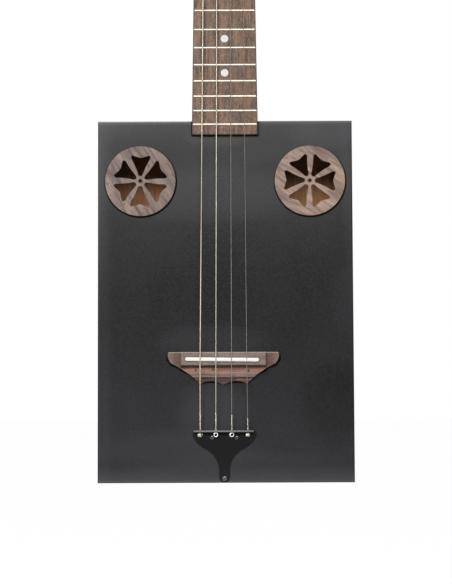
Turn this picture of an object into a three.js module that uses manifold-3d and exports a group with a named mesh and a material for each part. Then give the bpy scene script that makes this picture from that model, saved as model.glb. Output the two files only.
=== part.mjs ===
// A four-string cigar box guitar, standing on the bottom end of its box.
// Millimetres: +X to the right of someone facing it, -Y towards them, +Z up along the neck.
// The origin is the middle of the box's flat bottom end.

import * as THREE from "three";
import { mergeVertices } from "three/addons/utils/BufferGeometryUtils.js";
import Module from "manifold-3d";

const wasm = await Module();
wasm.setup();

// Box
const boxWidth = 220;
const boxHeight = 312;
const boxDepth = 64;
const plateThickness = 3.5;
const wallThickness = 8;
const boxEdgeRadius = 1.2;
const braceDepth = 10;
const braceHeight = 8;
const braceHeightShares = [0.34, 0.73];
const bridgePlateWidth = 110;
const bridgePlateHeight = 44;
const bridgePlateThickness = 1.5;
const tailBlockWidth = 60;
const tailBlockHeight = 20;

// Clearances between pieces, and how far a cutting shape runs past what it cuts
const fitGap = 0.3;
const slotGap = 0.1;
const stringGap = 0.2;
const overrun = 1;

// Sound holes and the walnut discs over them
const discInset = 36.8;
const discDrop = 52.4;
const discRadius = 30.6;
const discThickness = 1.8;
const discPinholeRadius = 1.5;
const petalReach = 22.6;
const petalHalfWidth = 7.3;
const petalCount = 6;
const soundholeRadius = 25;
const discTurnDegrees = { left: 0, right: 31 };

// Strings, from the lowest to the highest
const scaleLength = 635;
const compensation = 3;
const stringDiameters = [1.1, 0.86, 0.58, 0.44];
const nutSpread = 29.8;
const saddleSpread = 39.7;
const ballSpread = 40.7;
const nutAction = 0.5;
const saddleTopHeight = 10.4;
const windingTurns = 2;
const windingGap = 0.55;
const windingRise = 8.4;
const twistDiameterRatio = 1.7;
const twistLengths = [19, 17, 15.5, 12.5];
const ballRadius = 2.05;
const ballBoreRadius = 0.95;
const ballGrooveRadius = 1.7;
const ballWidth = 3.1;
const ballTurnDegrees = [55, 0, 8, 84];

// Bridge and saddle
const bridgeSetover = 2.1;
const bridgeWidth = 96;
const bridgeHeight = 27.9;
const bridgePlatformWidth = 72.2;
const bridgePlatformRise = 8;
const bridgeRampRise = 5.2;
const bridgeWingRise = 4.6;
const bridgeEdgeRise = 2.2;
const saddleLength = 63.4;
const saddleThickness = 3.5;
const saddleHeightShare = 0.33686;
const saddleSetback = 6.4;
const saddleSetover = 1;
const saddleSlantDegrees = 0.7;
const saddleSlotDepth = 5;

// Tailpiece
const tailSetover = 1.5;
const tailWidth = 54.2;
const tailPlateThickness = 1.4;
const tailStemWidth = 8.9;
const tailBottomGap = 0.8;
const tailTopHeight = 44.7;
const flangeWidth = 52.6;
const flangeThickness = 1.3;
const flangeRise = 8.2;
const flangeHoleRise = 4.5;
const tailScrewRadius = 1.3;
const tailScrewHeadRadius = 2.5;
const tailScrewHeadRise = 1.5;
const tailScrewLength = 18;

// Fretboard, frets and nut
const fretCount = 20;
const dotFrets = [3, 5, 7, 9, 12, 15, 17];
const boardThickness = 5.5;
const boardTail = 8.7;
const boardEndWidth = 56.5;
const boardCornerRadius = 1.4;
const nutWidth = 44;
const nutThickness = 5;
const nutCollar = 1.2;
const fretCrownWidth = 2;
const fretCrownRise = 1;
const fretTangWidth = 0.6;
const fretTangDepth = 2;
const dotRadius = 3.3;
const dotProud = 0.1;

// Neck
const neckDepthAtNut = 16;
const neckDepthAtBox = 19;
const heelDepth = 30;
const heelLength = 60;
const heelCover = 3;
const headBlendLength = 34;
const stickWidth = 38;
const stickRelief = 4;
const stickLandLength = 22;
const barWidth = 6;
const barDepth = 9;
const headWidth = 68;
const headLength = 132;
const headThickness = 13;
const headStep = 4.5;
const headScoop = 12;
const headFlare = 26;
const headCornerRadius = 7;

// Tuning machines
const postInset = 13;
const nearPostRise = 40;
const postPitch = 46;
const postRadius = 3;
const postRise = 13.5;
const postTipRadius = 2.4;
const postHoleRadius = 0.9;
const bushingRadius = 4.5;
const bushingDepth = 7;
const bushingCollarRadius = 5.6;
const bushingCollarRise = 2;
const tunerPlateWidth = 13;
const tunerPlateLength = 40.5;
const tunerPlateThickness = 1.3;
const gearTeeth = 15;
const gearRadius = 6.2;
const gearToothDepth = 0.9;
const gearThickness = 3;
const wormRadius = 2.6;
const wormLength = 7;
const shaftRadius = 1.5;
const lugThickness = 1.5;
const lugWidth = 6;
const buttonLength = 13;
const buttonWidth = 17;
const buttonThickness = 6.5;
const buttonEdge = 1.5;
const buttonStandOff = 4;
const tunerScrewHeadRadius = 2.2;
const tunerScrewHeadRise = 1;

// How finely curves are cut into flats
const fineSides = 56;
const roundSides = 16;
const smallSides = 10;
const curveSteps = 6;
const petalSteps = 3;
const loopSteps = 24;
const stringSides = 6;
const neckSteps = 22;

// Places that several pieces share
const faceY = -boxDepth / 2;
const lidBackY = faceY + plateThickness;
const backInnerY = boxDepth / 2 - plateThickness;
const innerWidth = boxWidth - 2 * wallThickness;
const discX = boxWidth / 2 - discInset;
const discCentreHeight = boxHeight - discDrop;
const bridgeX = -bridgeSetover;
const saddleX = bridgeX - saddleSetover;
const saddleTopY = faceY - saddleTopHeight;
const saddleCentreHeight = boxHeight * saddleHeightShare;
const bridgeTopHeight = saddleCentreHeight + saddleSetback;
const bridgeTipHeight = bridgeTopHeight - bridgeHeight;
const nutZ = saddleCentreHeight + scaleLength + compensation;
const nutBackZ = nutZ + nutThickness;
const boardEndZ = fretZ(fretCount) - boardTail;
const boardTopY = faceY - boardThickness;
const fretTopY = boardTopY - fretCrownRise;
const headFaceY = faceY + headStep;
const headBackY = headFaceY + headThickness;
const headEndZ = nutBackZ + headLength;
const postX = headWidth / 2 - postInset;
const tailX = -tailSetover;
const flangeFrontZ = tailTopHeight;
const flangeBackZ = flangeFrontZ - flangeThickness;
const ballZ = flangeBackZ - fitGap - ballRadius;
const stickBackY = faceY + heelDepth - heelCover;

const guitar = new THREE.Group();

// Materials, one for each finish
function finish(color, roughness, metalness) {
  return new THREE.MeshStandardMaterial({ color, roughness, metalness });
}
const blackPaint = finish(0x3c3d3f, 0.5, 0);
const plywood = finish(0xb07f50, 0.8, 0);
const walnut = finish(0x8c7a70, 0.6, 0);
const darkWalnut = finish(0x6d605a, 0.6, 0);
const neckWood = finish(0x9a6b45, 0.5, 0);
const bone = finish(0xf3efe2, 0.4, 0);
const steel = finish(0xc8c8c6, 0.3, 1);
const bronze = finish(0xcaa978, 0.35, 1);
const nickel = finish(0xd2cfc8, 0.3, 1);
const blackSteel = finish(0x151617, 0.35, 0.6);
const creamButton = finish(0xe9e2cf, 0.4, 0);

// A closed geometry as a solid that can be joined and cut
function solid(geometry) {
  const bare = geometry.clone();
  bare.deleteAttribute("normal");
  bare.deleteAttribute("uv");
  const merged = mergeVertices(bare);
  return new wasm.Manifold(
    new wasm.Mesh({
      numProp: 3,
      vertProperties: new Float32Array(merged.attributes.position.array),
      triVerts: new Uint32Array(merged.index.array),
    }),
  );
}

function geometryOf(body) {
  const mesh = body.getMesh();
  const geometry = new THREE.BufferGeometry();
  geometry.setAttribute("position", new THREE.BufferAttribute(mesh.vertProperties, mesh.numProp));
  geometry.setIndex(new THREE.BufferAttribute(mesh.triVerts, 1));
  geometry.computeVertexNormals();
  return geometry;
}

function addPiece(name, body, material) {
  const mesh = new THREE.Mesh(geometryOf(body), material);
  mesh.name = name;
  guitar.add(mesh);
}

function lerp(from, to, share) {
  return from + (to - from) * share;
}

// A block between two corners
function block(x0, x1, y0, y1, z0, z1) {
  const geometry = new THREE.BoxGeometry(x1 - x0, y1 - y0, z1 - z0);
  geometry.translate((x0 + x1) / 2, (y0 + y1) / 2, (z0 + z1) / 2);
  return solid(geometry);
}

// A round bar along one axis, between two places on it
function barAlongX(radius, x0, x1, y, z, sides) {
  const geometry = new THREE.CylinderGeometry(radius, radius, x1 - x0, sides);
  geometry.rotateZ(-Math.PI / 2);
  geometry.translate((x0 + x1) / 2, y, z);
  return solid(geometry);
}

function barAlongY(radius, x, y0, y1, z, sides) {
  const geometry = new THREE.CylinderGeometry(radius, radius, y1 - y0, sides);
  geometry.translate(x, (y0 + y1) / 2, z);
  return solid(geometry);
}

function barAlongZ(radius, x, y, z0, z1, sides) {
  const geometry = new THREE.CylinderGeometry(radius, radius, z1 - z0, sides);
  geometry.rotateX(Math.PI / 2);
  geometry.translate(x, y, (z0 + z1) / 2);
  return solid(geometry);
}

// A front-view outline, drawn in x and z, standing forward of a plane
function slabForward(shape, backY, thickness, segments) {
  const geometry = new THREE.ExtrudeGeometry(shape, {
    depth: thickness,
    bevelEnabled: false,
    curveSegments: segments,
  });
  geometry.rotateX(Math.PI / 2);
  geometry.translate(0, backY, 0);
  return solid(geometry);
}

// A side-view outline, drawn in y and z, running across from x0 to x1
function slabAcross(shape, x0, x1, segments) {
  const geometry = new THREE.ExtrudeGeometry(shape, {
    depth: x1 - x0,
    bevelEnabled: false,
    curveSegments: segments,
  });
  geometry.rotateX(Math.PI / 2);
  geometry.rotateZ(Math.PI / 2);
  geometry.translate(x0, 0, 0);
  return solid(geometry);
}

// A profile of radius against height, turned about Y, with heights counted forward from a plane
function turnedAlongY(profile, x, baseY, z, sides) {
  const points = profile.map(([radius, rise]) => new THREE.Vector2(radius, rise));
  const geometry = new THREE.LatheGeometry(points, sides);
  geometry.rotateX(Math.PI);
  geometry.translate(x, baseY, z);
  return solid(geometry);
}

function joined(bodies) {
  return bodies.reduce((whole, body) => whole.add(body));
}

// Box: two plates with rounded outer edges on four plain walls
function roundedPlate(outwardY) {
  const thick = plateThickness + boxEdgeRadius;
  const outline = new THREE.Shape();
  outline.moveTo(-boxWidth / 2, 0);
  outline.lineTo(boxWidth / 2, 0);
  outline.lineTo(boxWidth / 2, boxHeight);
  outline.lineTo(-boxWidth / 2, boxHeight);
  outline.closePath();
  const geometry = new THREE.ExtrudeGeometry(outline, {
    depth: thick - boxEdgeRadius,
    bevelEnabled: true,
    bevelThickness: boxEdgeRadius,
    bevelSize: boxEdgeRadius,
    bevelOffset: -boxEdgeRadius,
    bevelSegments: 3,
  });
  geometry.rotateX(Math.PI / 2);
  geometry.translate(0, outwardY < 0 ? faceY + thick : boxDepth / 2 - boxEdgeRadius, 0);
  const keep =
    outwardY < 0
      ? block(-boxWidth, boxWidth, faceY - overrun, lidBackY, -overrun, boxHeight + overrun)
      : block(-boxWidth, boxWidth, backInnerY, boxDepth, -overrun, boxHeight + overrun);
  return solid(geometry).intersect(keep);
}

function makeBox() {
  let lid = roundedPlate(-1);
  for (const side of [-1, 1]) {
    const x = side * discX;
    lid = lid.subtract(
      barAlongY(soundholeRadius, x, faceY - overrun, lidBackY + overrun, discCentreHeight, fineSides),
    );
  }
  lid = lid.subtract(tailScrewHole(tailScrewRadius + fitGap));
  addPiece("top_plate", lid, blackPaint);
  addPiece("back_plate", roundedPlate(1), blackPaint);

  const inner = innerWidth / 2;
  addPiece("side_left", block(-boxWidth / 2, -inner, lidBackY, backInnerY, 0, boxHeight), blackPaint);
  addPiece("side_right", block(inner, boxWidth / 2, lidBackY, backInnerY, 0, boxHeight), blackPaint);

  const notchHalf = stickWidth / 2 + fitGap;
  const notch = block(
    -notchHalf,
    notchHalf,
    lidBackY - overrun,
    stickBackY + fitGap,
    boxHeight - wallThickness - overrun,
    boxHeight + overrun,
  );
  const endTop = block(-inner, inner, lidBackY, backInnerY, boxHeight - wallThickness, boxHeight);
  addPiece("end_top", endTop.subtract(notch), blackPaint);

  const endBottom = block(-inner, inner, lidBackY, backInnerY, 0, wallThickness);
  addPiece("end_bottom", endBottom.subtract(tailScrewHole(tailScrewRadius + slotGap)), blackPaint);
}

function makeInsideOfBox() {
  const blockTop = wallThickness + tailBlockHeight;
  const blockHalf = tailBlockWidth / 2;
  const tailBlock = block(-blockHalf, blockHalf, stickBackY, backInnerY, wallThickness, blockTop);
  addPiece("tail_block", tailBlock, plywood);

  const plateMiddle = (bridgeTopHeight + bridgeTipHeight) / 2;
  const bridgePlate = block(
    bridgeX - bridgePlateWidth / 2,
    bridgeX + bridgePlateWidth / 2,
    lidBackY,
    lidBackY + bridgePlateThickness,
    plateMiddle - bridgePlateHeight / 2,
    plateMiddle + bridgePlateHeight / 2,
  );
  addPiece("bridge_plate", bridgePlate, plywood);

  ["back_brace_lower", "back_brace_upper"].forEach((name, i) => {
    const middle = boxHeight * braceHeightShares[i];
    const half = braceHeight / 2;
    const brace = block(
      -innerWidth / 2,
      innerWidth / 2,
      backInnerY - braceDepth,
      backInnerY,
      middle - half,
      middle + half,
    );
    addPiece(name, brace, plywood);
  });
}

// Sound-hole discs: six petals with a rounded tip and two rounded lobes, round a pinhole
const petalShares = {
  tip: [0.13, 0.2],
  tipPull: [0, 0.16],
  flank: [0.97, 0.9],
  lobePull: [1.06, 0.985],
  lobe: [0.76, 0.985],
  notchPull: [0.3, 0.9],
  notch: [0, 0.865],
};

function petalPath(turn) {
  const at = (side, [across, out]) => {
    const x = side * petalHalfWidth * across;
    const y = petalReach * out;
    return [x * Math.cos(turn) - y * Math.sin(turn), x * Math.sin(turn) + y * Math.cos(turn)];
  };
  const s = petalShares;
  const path = new THREE.Path();
  path.moveTo(...at(-1, s.tip));
  path.lineTo(...at(-1, s.flank));
  path.quadraticCurveTo(...at(-1, s.lobePull), ...at(-1, s.lobe));
  path.quadraticCurveTo(...at(-1, s.notchPull), ...at(0, s.notch));
  path.quadraticCurveTo(...at(1, s.notchPull), ...at(1, s.lobe));
  path.quadraticCurveTo(...at(1, s.lobePull), ...at(1, s.flank));
  path.lineTo(...at(1, s.tip));
  path.quadraticCurveTo(...at(0, s.tipPull), ...at(-1, s.tip));
  return path;
}

// A full circle in arcs, so that few steps an arc still make it round
function circle(shape, radius, arcs, clockwise) {
  for (let i = 0; i < arcs; i++) {
    const from = ((clockwise ? -i : i) * 2 * Math.PI) / arcs;
    const to = ((clockwise ? -i - 1 : i + 1) * 2 * Math.PI) / arcs;
    shape.absarc(0, 0, radius, from, to, clockwise);
  }
  return shape;
}

function makeDisc(name, side, turnDegrees) {
  const rimArcs = Math.round(fineSides / (2 * petalSteps));
  const disc = circle(new THREE.Shape(), discRadius, rimArcs, false);
  for (let i = 0; i < petalCount; i++) {
    disc.holes.push(petalPath(degrees(turnDegrees) + (i * 2 * Math.PI) / petalCount));
  }
  disc.holes.push(circle(new THREE.Path(), discPinholeRadius, 2, true));
  const body = slabForward(disc, faceY, discThickness, petalSteps);
  addPiece(name, body.translate([side * discX, 0, discCentreHeight]), walnut);
}

// Bridge: the front outline, cut to height by a side profile and an end profile
const bridgeOutlineShares = {
  corner: [0.995, 1],
  bulge: [1.02, 0.84],
  shoulder: [0.93, 0.66],
  waist: [0.77, 0.51],
  hollow: [0.6, 0.32],
  tip: [0.42, 0.03],
  arch: [0.22, 0.215],
};

function bridgeFootprint() {
  const half = bridgeWidth / 2;
    const at = (side, [across, up]) => [bridgeX + side * half * across, bridgeTipHeight + bridgeHeight * up];
  const s = bridgeOutlineShares;
  const shape = new THREE.Shape();
  shape.moveTo(...at(-1, s.corner));
  shape.quadraticCurveTo(...at(-1, s.bulge), ...at(-1, s.shoulder));
  shape.lineTo(...at(-1, s.waist));
  shape.lineTo(...at(-1, s.hollow));
  shape.lineTo(...at(-1, s.tip));
  shape.quadraticCurveTo(...at(-1, s.arch), ...at(0, [0, 0]));
  shape.quadraticCurveTo(...at(1, s.arch), ...at(1, s.tip));
  shape.lineTo(...at(1, s.hollow));
  shape.lineTo(...at(1, s.waist));
  shape.lineTo(...at(1, s.shoulder));
  shape.quadraticCurveTo(...at(1, s.bulge), ...at(1, s.corner));
  shape.closePath();
  return shape;
}

// Heights over the lid against the share of the bridge's length, from its tips upwards
const bridgeProfileShares = {
  lowerStep: [0.205, 0.225],
  upperStep: [0.505, 0.605],
};

const bridgeRiseShares = { edgeTop: 1.2, rampFoot: 0.75, wingEnd: 0.75 };

function bridgeSideProfile() {
    const up = (share) => bridgeTipHeight + bridgeHeight * share;
  const { lowerStep, upperStep } = bridgeProfileShares;
  const rampFoot = lerp(bridgeEdgeRise, bridgeRampRise, bridgeRiseShares.rampFoot);
  const shape = new THREE.Shape();
  shape.moveTo(faceY, bridgeTipHeight - overrun);
  shape.lineTo(faceY - bridgeEdgeRise, bridgeTipHeight - overrun);
  shape.lineTo(faceY - bridgeEdgeRise * bridgeRiseShares.edgeTop, up(lowerStep[0]));
  shape.lineTo(faceY - rampFoot, up(lowerStep[1]));
  shape.lineTo(faceY - bridgeRampRise, up(upperStep[0]));
  shape.lineTo(faceY - bridgePlatformRise, up(upperStep[1]));
  shape.lineTo(faceY - bridgePlatformRise, bridgeTopHeight + overrun);
  shape.lineTo(faceY, bridgeTopHeight + overrun);
  shape.closePath();
  return shape;
}

function bridgeWings(side) {
  const platform = bridgePlatformWidth / 2;
  const outer = bridgeWidth / 2 + overrun;
  const shape = new THREE.Shape();
  shape.moveTo(side * platform, bridgeWingRise);
  shape.lineTo(side * outer, bridgeWingRise * bridgeRiseShares.wingEnd);
  shape.lineTo(side * outer, bridgePlatformRise + overrun);
  shape.lineTo(side * platform, bridgePlatformRise + overrun);
  shape.closePath();
    const depth = bridgeHeight + 2 * overrun;
  const geometry = new THREE.ExtrudeGeometry(shape, { depth, bevelEnabled: false });
  geometry.rotateX(Math.PI);
  geometry.translate(bridgeX, faceY, bridgeTopHeight + overrun);
  return solid(geometry);
}

// A rounded-end bar lying across the strings, for the saddle and its slot
function saddleBar(grow, backY, frontY) {
  const half = saddleLength / 2 - saddleThickness / 2;
  const radius = saddleThickness / 2 + grow;
  const shape = new THREE.Shape();
  shape.absarc(half, 0, radius, -Math.PI / 2, Math.PI / 2, false);
  shape.absarc(-half, 0, radius, Math.PI / 2, (3 * Math.PI) / 2, false);
  shape.closePath();
  return slabForward(shape, backY, backY - frontY, curveSteps)
    .rotate([0, saddleSlantDegrees, 0])
    .translate([saddleX, 0, saddleCentreHeight]);
}

function makeBridge() {
  const across = bridgeWidth / 2 + overrun;
  let bridge = slabForward(bridgeFootprint(), faceY, bridgePlatformRise, curveSteps);
  bridge = bridge.intersect(slabAcross(bridgeSideProfile(), bridgeX - across, bridgeX + across, 1));
  bridge = bridge.subtract(bridgeWings(-1)).subtract(bridgeWings(1));
  const slotFloorY = faceY - bridgePlatformRise + saddleSlotDepth;
  bridge = bridge.subtract(saddleBar(fitGap, slotFloorY, faceY - bridgePlatformRise - overrun));
  addPiece("bridge", bridge, walnut);
  addPiece("saddle", saddleBar(0, slotFloorY - fitGap, saddleTopY), bone);
}

// Tailpiece: a flat plate screwed on near the bottom edge, with a flange turned up under the strings
const tailOutlineShares = {
  cheek: [1, 0.94],
  cheekPull: [0.98, 0.8],
  shoulderPull: [0.8, 0.705],
  shoulder: [0.59, 0.64],
  neckPull: [0.36, 0.565],
};
const tailStemShares = { pull: 0.42, top: 0.22 };

function tailOutline() {
  const half = tailWidth / 2;
  const stem = tailStemWidth / 2;
  const tall = flangeFrontZ - tailBottomGap;
  const at = (side, [across, up]) => [side * half * across, tailBottomGap + tall * up];
  const stemAt = (side, up) => [side * stem, tailBottomGap + tall * up];
  const s = tailOutlineShares;
  const shape = new THREE.Shape();
  const topZ = flangeBackZ + flangeThickness / 2;
  shape.moveTo(-half, topZ);
  shape.lineTo(...at(-1, s.cheek));
  shape.bezierCurveTo(...at(-1, s.cheekPull), ...at(-1, s.shoulderPull), ...at(-1, s.shoulder));
  const stemPull = stemAt(-1, tailStemShares.pull);
  shape.bezierCurveTo(...at(-1, s.neckPull), ...stemPull, ...stemAt(-1, tailStemShares.top));
  shape.lineTo(-stem, tailBottomGap + stem);
  shape.absarc(0, tailBottomGap + stem, stem, Math.PI, 2 * Math.PI, false);
  shape.lineTo(...stemAt(1, tailStemShares.top));
  shape.bezierCurveTo(...stemAt(1, tailStemShares.pull), ...at(1, s.neckPull), ...at(1, s.shoulder));
  shape.bezierCurveTo(...at(1, s.shoulderPull), ...at(1, s.cheekPull), ...at(1, s.cheek));
  shape.lineTo(half, topZ);
  shape.closePath();
  return shape;
}

function tailScrewHole(radius) {
  const depthY = faceY + tailScrewLength + fitGap;
  return barAlongY(radius, tailX, faceY - flangeRise, depthY, wallThickness / 2, smallSides);
}

const screwShares = {
  tip: 0.4,
  brim: 0.9,
  brimRise: 0.55,
  crown: 0.5,
  slotHalf: 0.14,
  slotReach: 0.62,
  slotFloor: 0.4,
};

function makeTailpiece() {
  const flangeHalf = flangeWidth / 2;
  const plate = slabForward(tailOutline(), faceY, tailPlateThickness, curveSteps).translate([tailX, 0, 0]);
  const flange = block(
    tailX - flangeHalf,
    tailX + flangeHalf,
    faceY - flangeRise,
    faceY,
    flangeBackZ,
    flangeFrontZ,
  );
  let tailpiece = plate.add(flange).subtract(tailScrewHole(tailScrewRadius + fitGap));
  stringDiameters.forEach((diameter, i) => {
    const radius = (diameter * twistDiameterRatio) / 2 + fitGap;
    const hole = barAlongZ(
      radius,
      ballX(i),
      faceY - flangeHoleRise,
      flangeBackZ - overrun,
      flangeFrontZ + overrun,
      smallSides,
    );
    tailpiece = tailpiece.subtract(hole);
  });
  addPiece("tailpiece", tailpiece, blackSteel);

  const seatY = faceY - tailPlateThickness;
  const screwZ = wallThickness / 2;
  const tipRise = -tailScrewLength - tailPlateThickness;
  const profile = [
    [0, tipRise],
    [tailScrewRadius * screwShares.tip, tipRise],
    [tailScrewRadius, tipRise + 2 * tailScrewRadius],
    [tailScrewRadius, 0],
    [tailScrewHeadRadius, 0],
    [tailScrewHeadRadius * screwShares.brim, tailScrewHeadRise * screwShares.brimRise],
    [tailScrewHeadRadius * screwShares.crown, tailScrewHeadRise],
    [0, tailScrewHeadRise],
  ];
  let screw = turnedAlongY(profile, tailX, seatY, screwZ, roundSides);
  const slotHalf = tailScrewHeadRadius * screwShares.slotHalf;
  const slotReach = tailScrewHeadRadius * screwShares.slotReach;
  const slotFloorY = seatY - tailScrewHeadRise * screwShares.slotFloor;
  const slotTopY = seatY - tailScrewHeadRise - overrun;
  for (const [wide, tall] of [
    [slotReach, slotHalf],
    [slotHalf, slotReach],
  ]) {
    screw = screw.subtract(
      block(tailX - wide, tailX + wide, slotTopY, slotFloorY, screwZ - tall, screwZ + tall),
    );
  }
  addPiece("tailpiece_screw", screw, nickel);
}

// Where each string crosses the saddle, the nut and the tailpiece
function spreadShare(i) {
  return i / (stringDiameters.length - 1) - 0.5;
}
function saddleStringX(i) {
  return bridgeX + spreadShare(i) * saddleSpread;
}
function nutStringX(i) {
  return spreadShare(i) * nutSpread;
}
function ballX(i) {
  return (tailX + bridgeX) / 2 + spreadShare(i) * ballSpread;
}
function nutStringY(i) {
  return fretTopY - nutAction - stringDiameters[i] / 2;
}

// Neck: a rounded shaft that deepens into a heel, the stick through the box, and a stepped head
function boardWidthAt(z) {
  return lerp(nutWidth, boardEndWidth, (nutZ - z) / (nutZ - boardEndZ));
}

// Each section is half of a rounded square: its corners are soft along the shaft and firm at the ends
const sectionPowers = { shaft: 2.3, heel: 4.2, head: 40 };

function neckSection(z) {
  const rise = z - boxHeight;
  const heel = 0.5 + 0.5 * Math.cos(Math.PI * Math.min(1, rise / heelLength));
  const headStartZ = nutBackZ - headBlendLength;
  const head = THREE.MathUtils.smoothstep(z, headStartZ, nutBackZ);
  const plain = lerp(neckDepthAtBox, neckDepthAtNut, rise / (nutBackZ - boxHeight));
  const depth = lerp(lerp(plain, heelDepth, heel), headBackY - faceY, head);
  const soft = lerp(sectionPowers.shaft, sectionPowers.heel, heel);
  const power = lerp(soft, sectionPowers.head, head ** 3);
  return { half: boardWidthAt(Math.min(z, nutZ)) / 2, depth, power };
}

function neckShaft() {
  const halfDisc = new THREE.Shape();
  halfDisc.absarc(0, 0, 1, 0, Math.PI, false);
  halfDisc.closePath();
  const geometry = new THREE.ExtrudeGeometry(halfDisc, {
    depth: 1,
    steps: neckSteps,
    bevelEnabled: false,
    curveSegments: curveSteps + 1,
  });
  // A third of the steps shape the heel, a third the plain shaft and a third the turn into the head
  const stations = [boxHeight, boxHeight + heelLength, nutBackZ - headBlendLength, nutBackZ];
  const place = geometry.attributes.position;
  for (let i = 0; i < place.count; i++) {
    const third = Math.min(2, Math.floor(place.getZ(i) * 3));
    const z = lerp(stations[third], stations[third + 1], place.getZ(i) * 3 - third);
    const { half, depth, power } = neckSection(z);
    const angle = Math.atan2(place.getY(i), place.getX(i));
    const across = Math.sign(Math.cos(angle)) * Math.abs(Math.cos(angle)) ** (2 / power);
    const back = Math.abs(Math.sin(angle)) ** (2 / power);
    const onFace = Math.abs(place.getY(i)) < Number.EPSILON;
    const x = half * (onFace ? Math.sign(place.getX(i)) : across);
    place.setXYZ(i, x, onFace ? faceY : faceY + depth * back, z);
  }
  return solid(geometry);
}

function neckStick() {
  const half = stickWidth / 2;
  const bottom = wallThickness;
  const stick = block(-half, half, lidBackY, stickBackY, bottom, boxHeight + overrun);
  const relief = block(
    -half - overrun,
    half + overrun,
    lidBackY - overrun,
    lidBackY + stickRelief,
    bottom + stickLandLength,
    boxHeight - wallThickness - stickLandLength,
  );
  return stick.subtract(relief);
}

function headOutline() {
  const root = nutWidth / 2;
  const wide = headWidth / 2;
  const corner = headCornerRadius;
  const flareZ = nutBackZ + headFlare;
  const shape = new THREE.Shape();
  shape.moveTo(-root, nutBackZ);
  const waistZ = nutBackZ + headFlare / 2;
  shape.bezierCurveTo(-root, waistZ, -wide, waistZ, -wide, flareZ);
  shape.lineTo(-wide, headEndZ - corner);
  shape.quadraticCurveTo(-wide, headEndZ, -wide + corner, headEndZ);
  shape.lineTo(wide - corner, headEndZ);
  shape.quadraticCurveTo(wide, headEndZ, wide, headEndZ - corner);
  shape.lineTo(wide, flareZ);
  shape.bezierCurveTo(wide, waistZ, root, waistZ, root, nutBackZ);
  shape.closePath();
  return shape;
}

function headStepBlock() {
  const shape = new THREE.Shape();
  shape.moveTo(faceY, nutBackZ - nutThickness / 2);
  shape.lineTo(faceY, nutBackZ);
  shape.quadraticCurveTo(headFaceY, nutBackZ, headFaceY, nutBackZ + headScoop);
  shape.lineTo(headBackY, nutBackZ + headScoop);
  shape.lineTo(headBackY, nutBackZ - nutThickness / 2);
  shape.closePath();
  return slabAcross(shape, -nutWidth / 2, nutWidth / 2, curveSteps);
}

function makeNeck() {
  const head = slabForward(headOutline(), headBackY, headThickness, curveSteps);
  let neck = joined([neckShaft(), neckStick(), head, headStepBlock()]);
  const barHalf = barWidth / 2;
  neck = neck.subtract(
    block(
      -barHalf,
      barHalf,
      faceY - overrun,
      faceY + barDepth,
      boxHeight + wallThickness,
      nutZ - nutThickness,
    ),
  );
  for (const { side, z } of tunerPlaces) {
    const radius = bushingRadius + slotGap;
    neck = neck.subtract(
      barAlongY(radius, side * postX, headFaceY - overrun, headBackY + overrun, z, roundSides),
    );
  }
  addPiece("neck", neck, neckWood);
  addPiece(
    "neck_bar",
    block(-barHalf, barHalf, faceY, faceY + barDepth, boxHeight + wallThickness, nutZ - nutThickness),
    steel,
  );
}

// Fretboard, frets and nut
function fretZ(n) {
  return nutZ - scaleLength * (1 - 2 ** (-n / 12));
}

function makeFretboard() {
  const endHalf = boardEndWidth / 2;
  const nutHalf = nutWidth / 2;
  const corner = boardCornerRadius;
  const shape = new THREE.Shape();
  shape.moveTo(-endHalf + corner, boardEndZ);
  shape.lineTo(endHalf - corner, boardEndZ);
  shape.quadraticCurveTo(endHalf, boardEndZ, endHalf, boardEndZ + corner);
  shape.lineTo(nutHalf, nutZ);
  shape.lineTo(-nutHalf, nutZ);
  shape.lineTo(-endHalf, boardEndZ + corner);
  shape.quadraticCurveTo(-endHalf, boardEndZ, -endHalf + corner, boardEndZ);
  let board = slabForward(shape, faceY, boardThickness, curveSteps / 2);

  const tangHalf = fretTangWidth / 2;
  for (let n = 1; n <= fretCount; n++) {
    const half = boardEndWidth / 2 + overrun;
    const slotHalf = tangHalf + slotGap;
    const floorY = boardTopY + fretTangDepth + slotGap;
    const slot = block(
      -half,
      half,
      boardTopY - overrun,
      floorY,
      fretZ(n) - slotHalf,
      fretZ(n) + slotHalf,
    );
    board = board.subtract(slot);
    addPiece("fret_" + String(n).padStart(2, "0"), fretWire(n), nickel);
  }
  for (const n of dotFrets) {
    const z = (fretZ(n) + fretZ(n - 1)) / 2;
    const across = n === 12 ? boardWidthAt(z) / 4 : 0;
    for (const side of across ? [-1, 1] : [0]) {
      board = board.add(
        barAlongY(dotRadius, side * across, boardTopY - dotProud, boardTopY + dotProud, z, roundSides),
      );
    }
  }
  addPiece("fretboard", board, darkWalnut);
}

function fretWire(n) {
  const z = fretZ(n);
  const crownHalf = fretCrownWidth / 2;
  const tangHalf = fretTangWidth / 2;
  const shape = new THREE.Shape();
  shape.moveTo(boardTopY, z + crownHalf);
  shape.lineTo(boardTopY, z + tangHalf);
  shape.lineTo(boardTopY + fretTangDepth, z + tangHalf);
  shape.lineTo(boardTopY + fretTangDepth, z - tangHalf);
  shape.lineTo(boardTopY, z - tangHalf);
  shape.lineTo(boardTopY, z - crownHalf);
  shape.quadraticCurveTo(fretTopY, z - crownHalf, fretTopY, z);
  shape.quadraticCurveTo(fretTopY, z + crownHalf, boardTopY, z + crownHalf);
  const half = boardWidthAt(z + crownHalf) / 2;
  return slabAcross(shape, -half, half, curveSteps / 2);
}

const nutFlatShare = 0.35;

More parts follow.
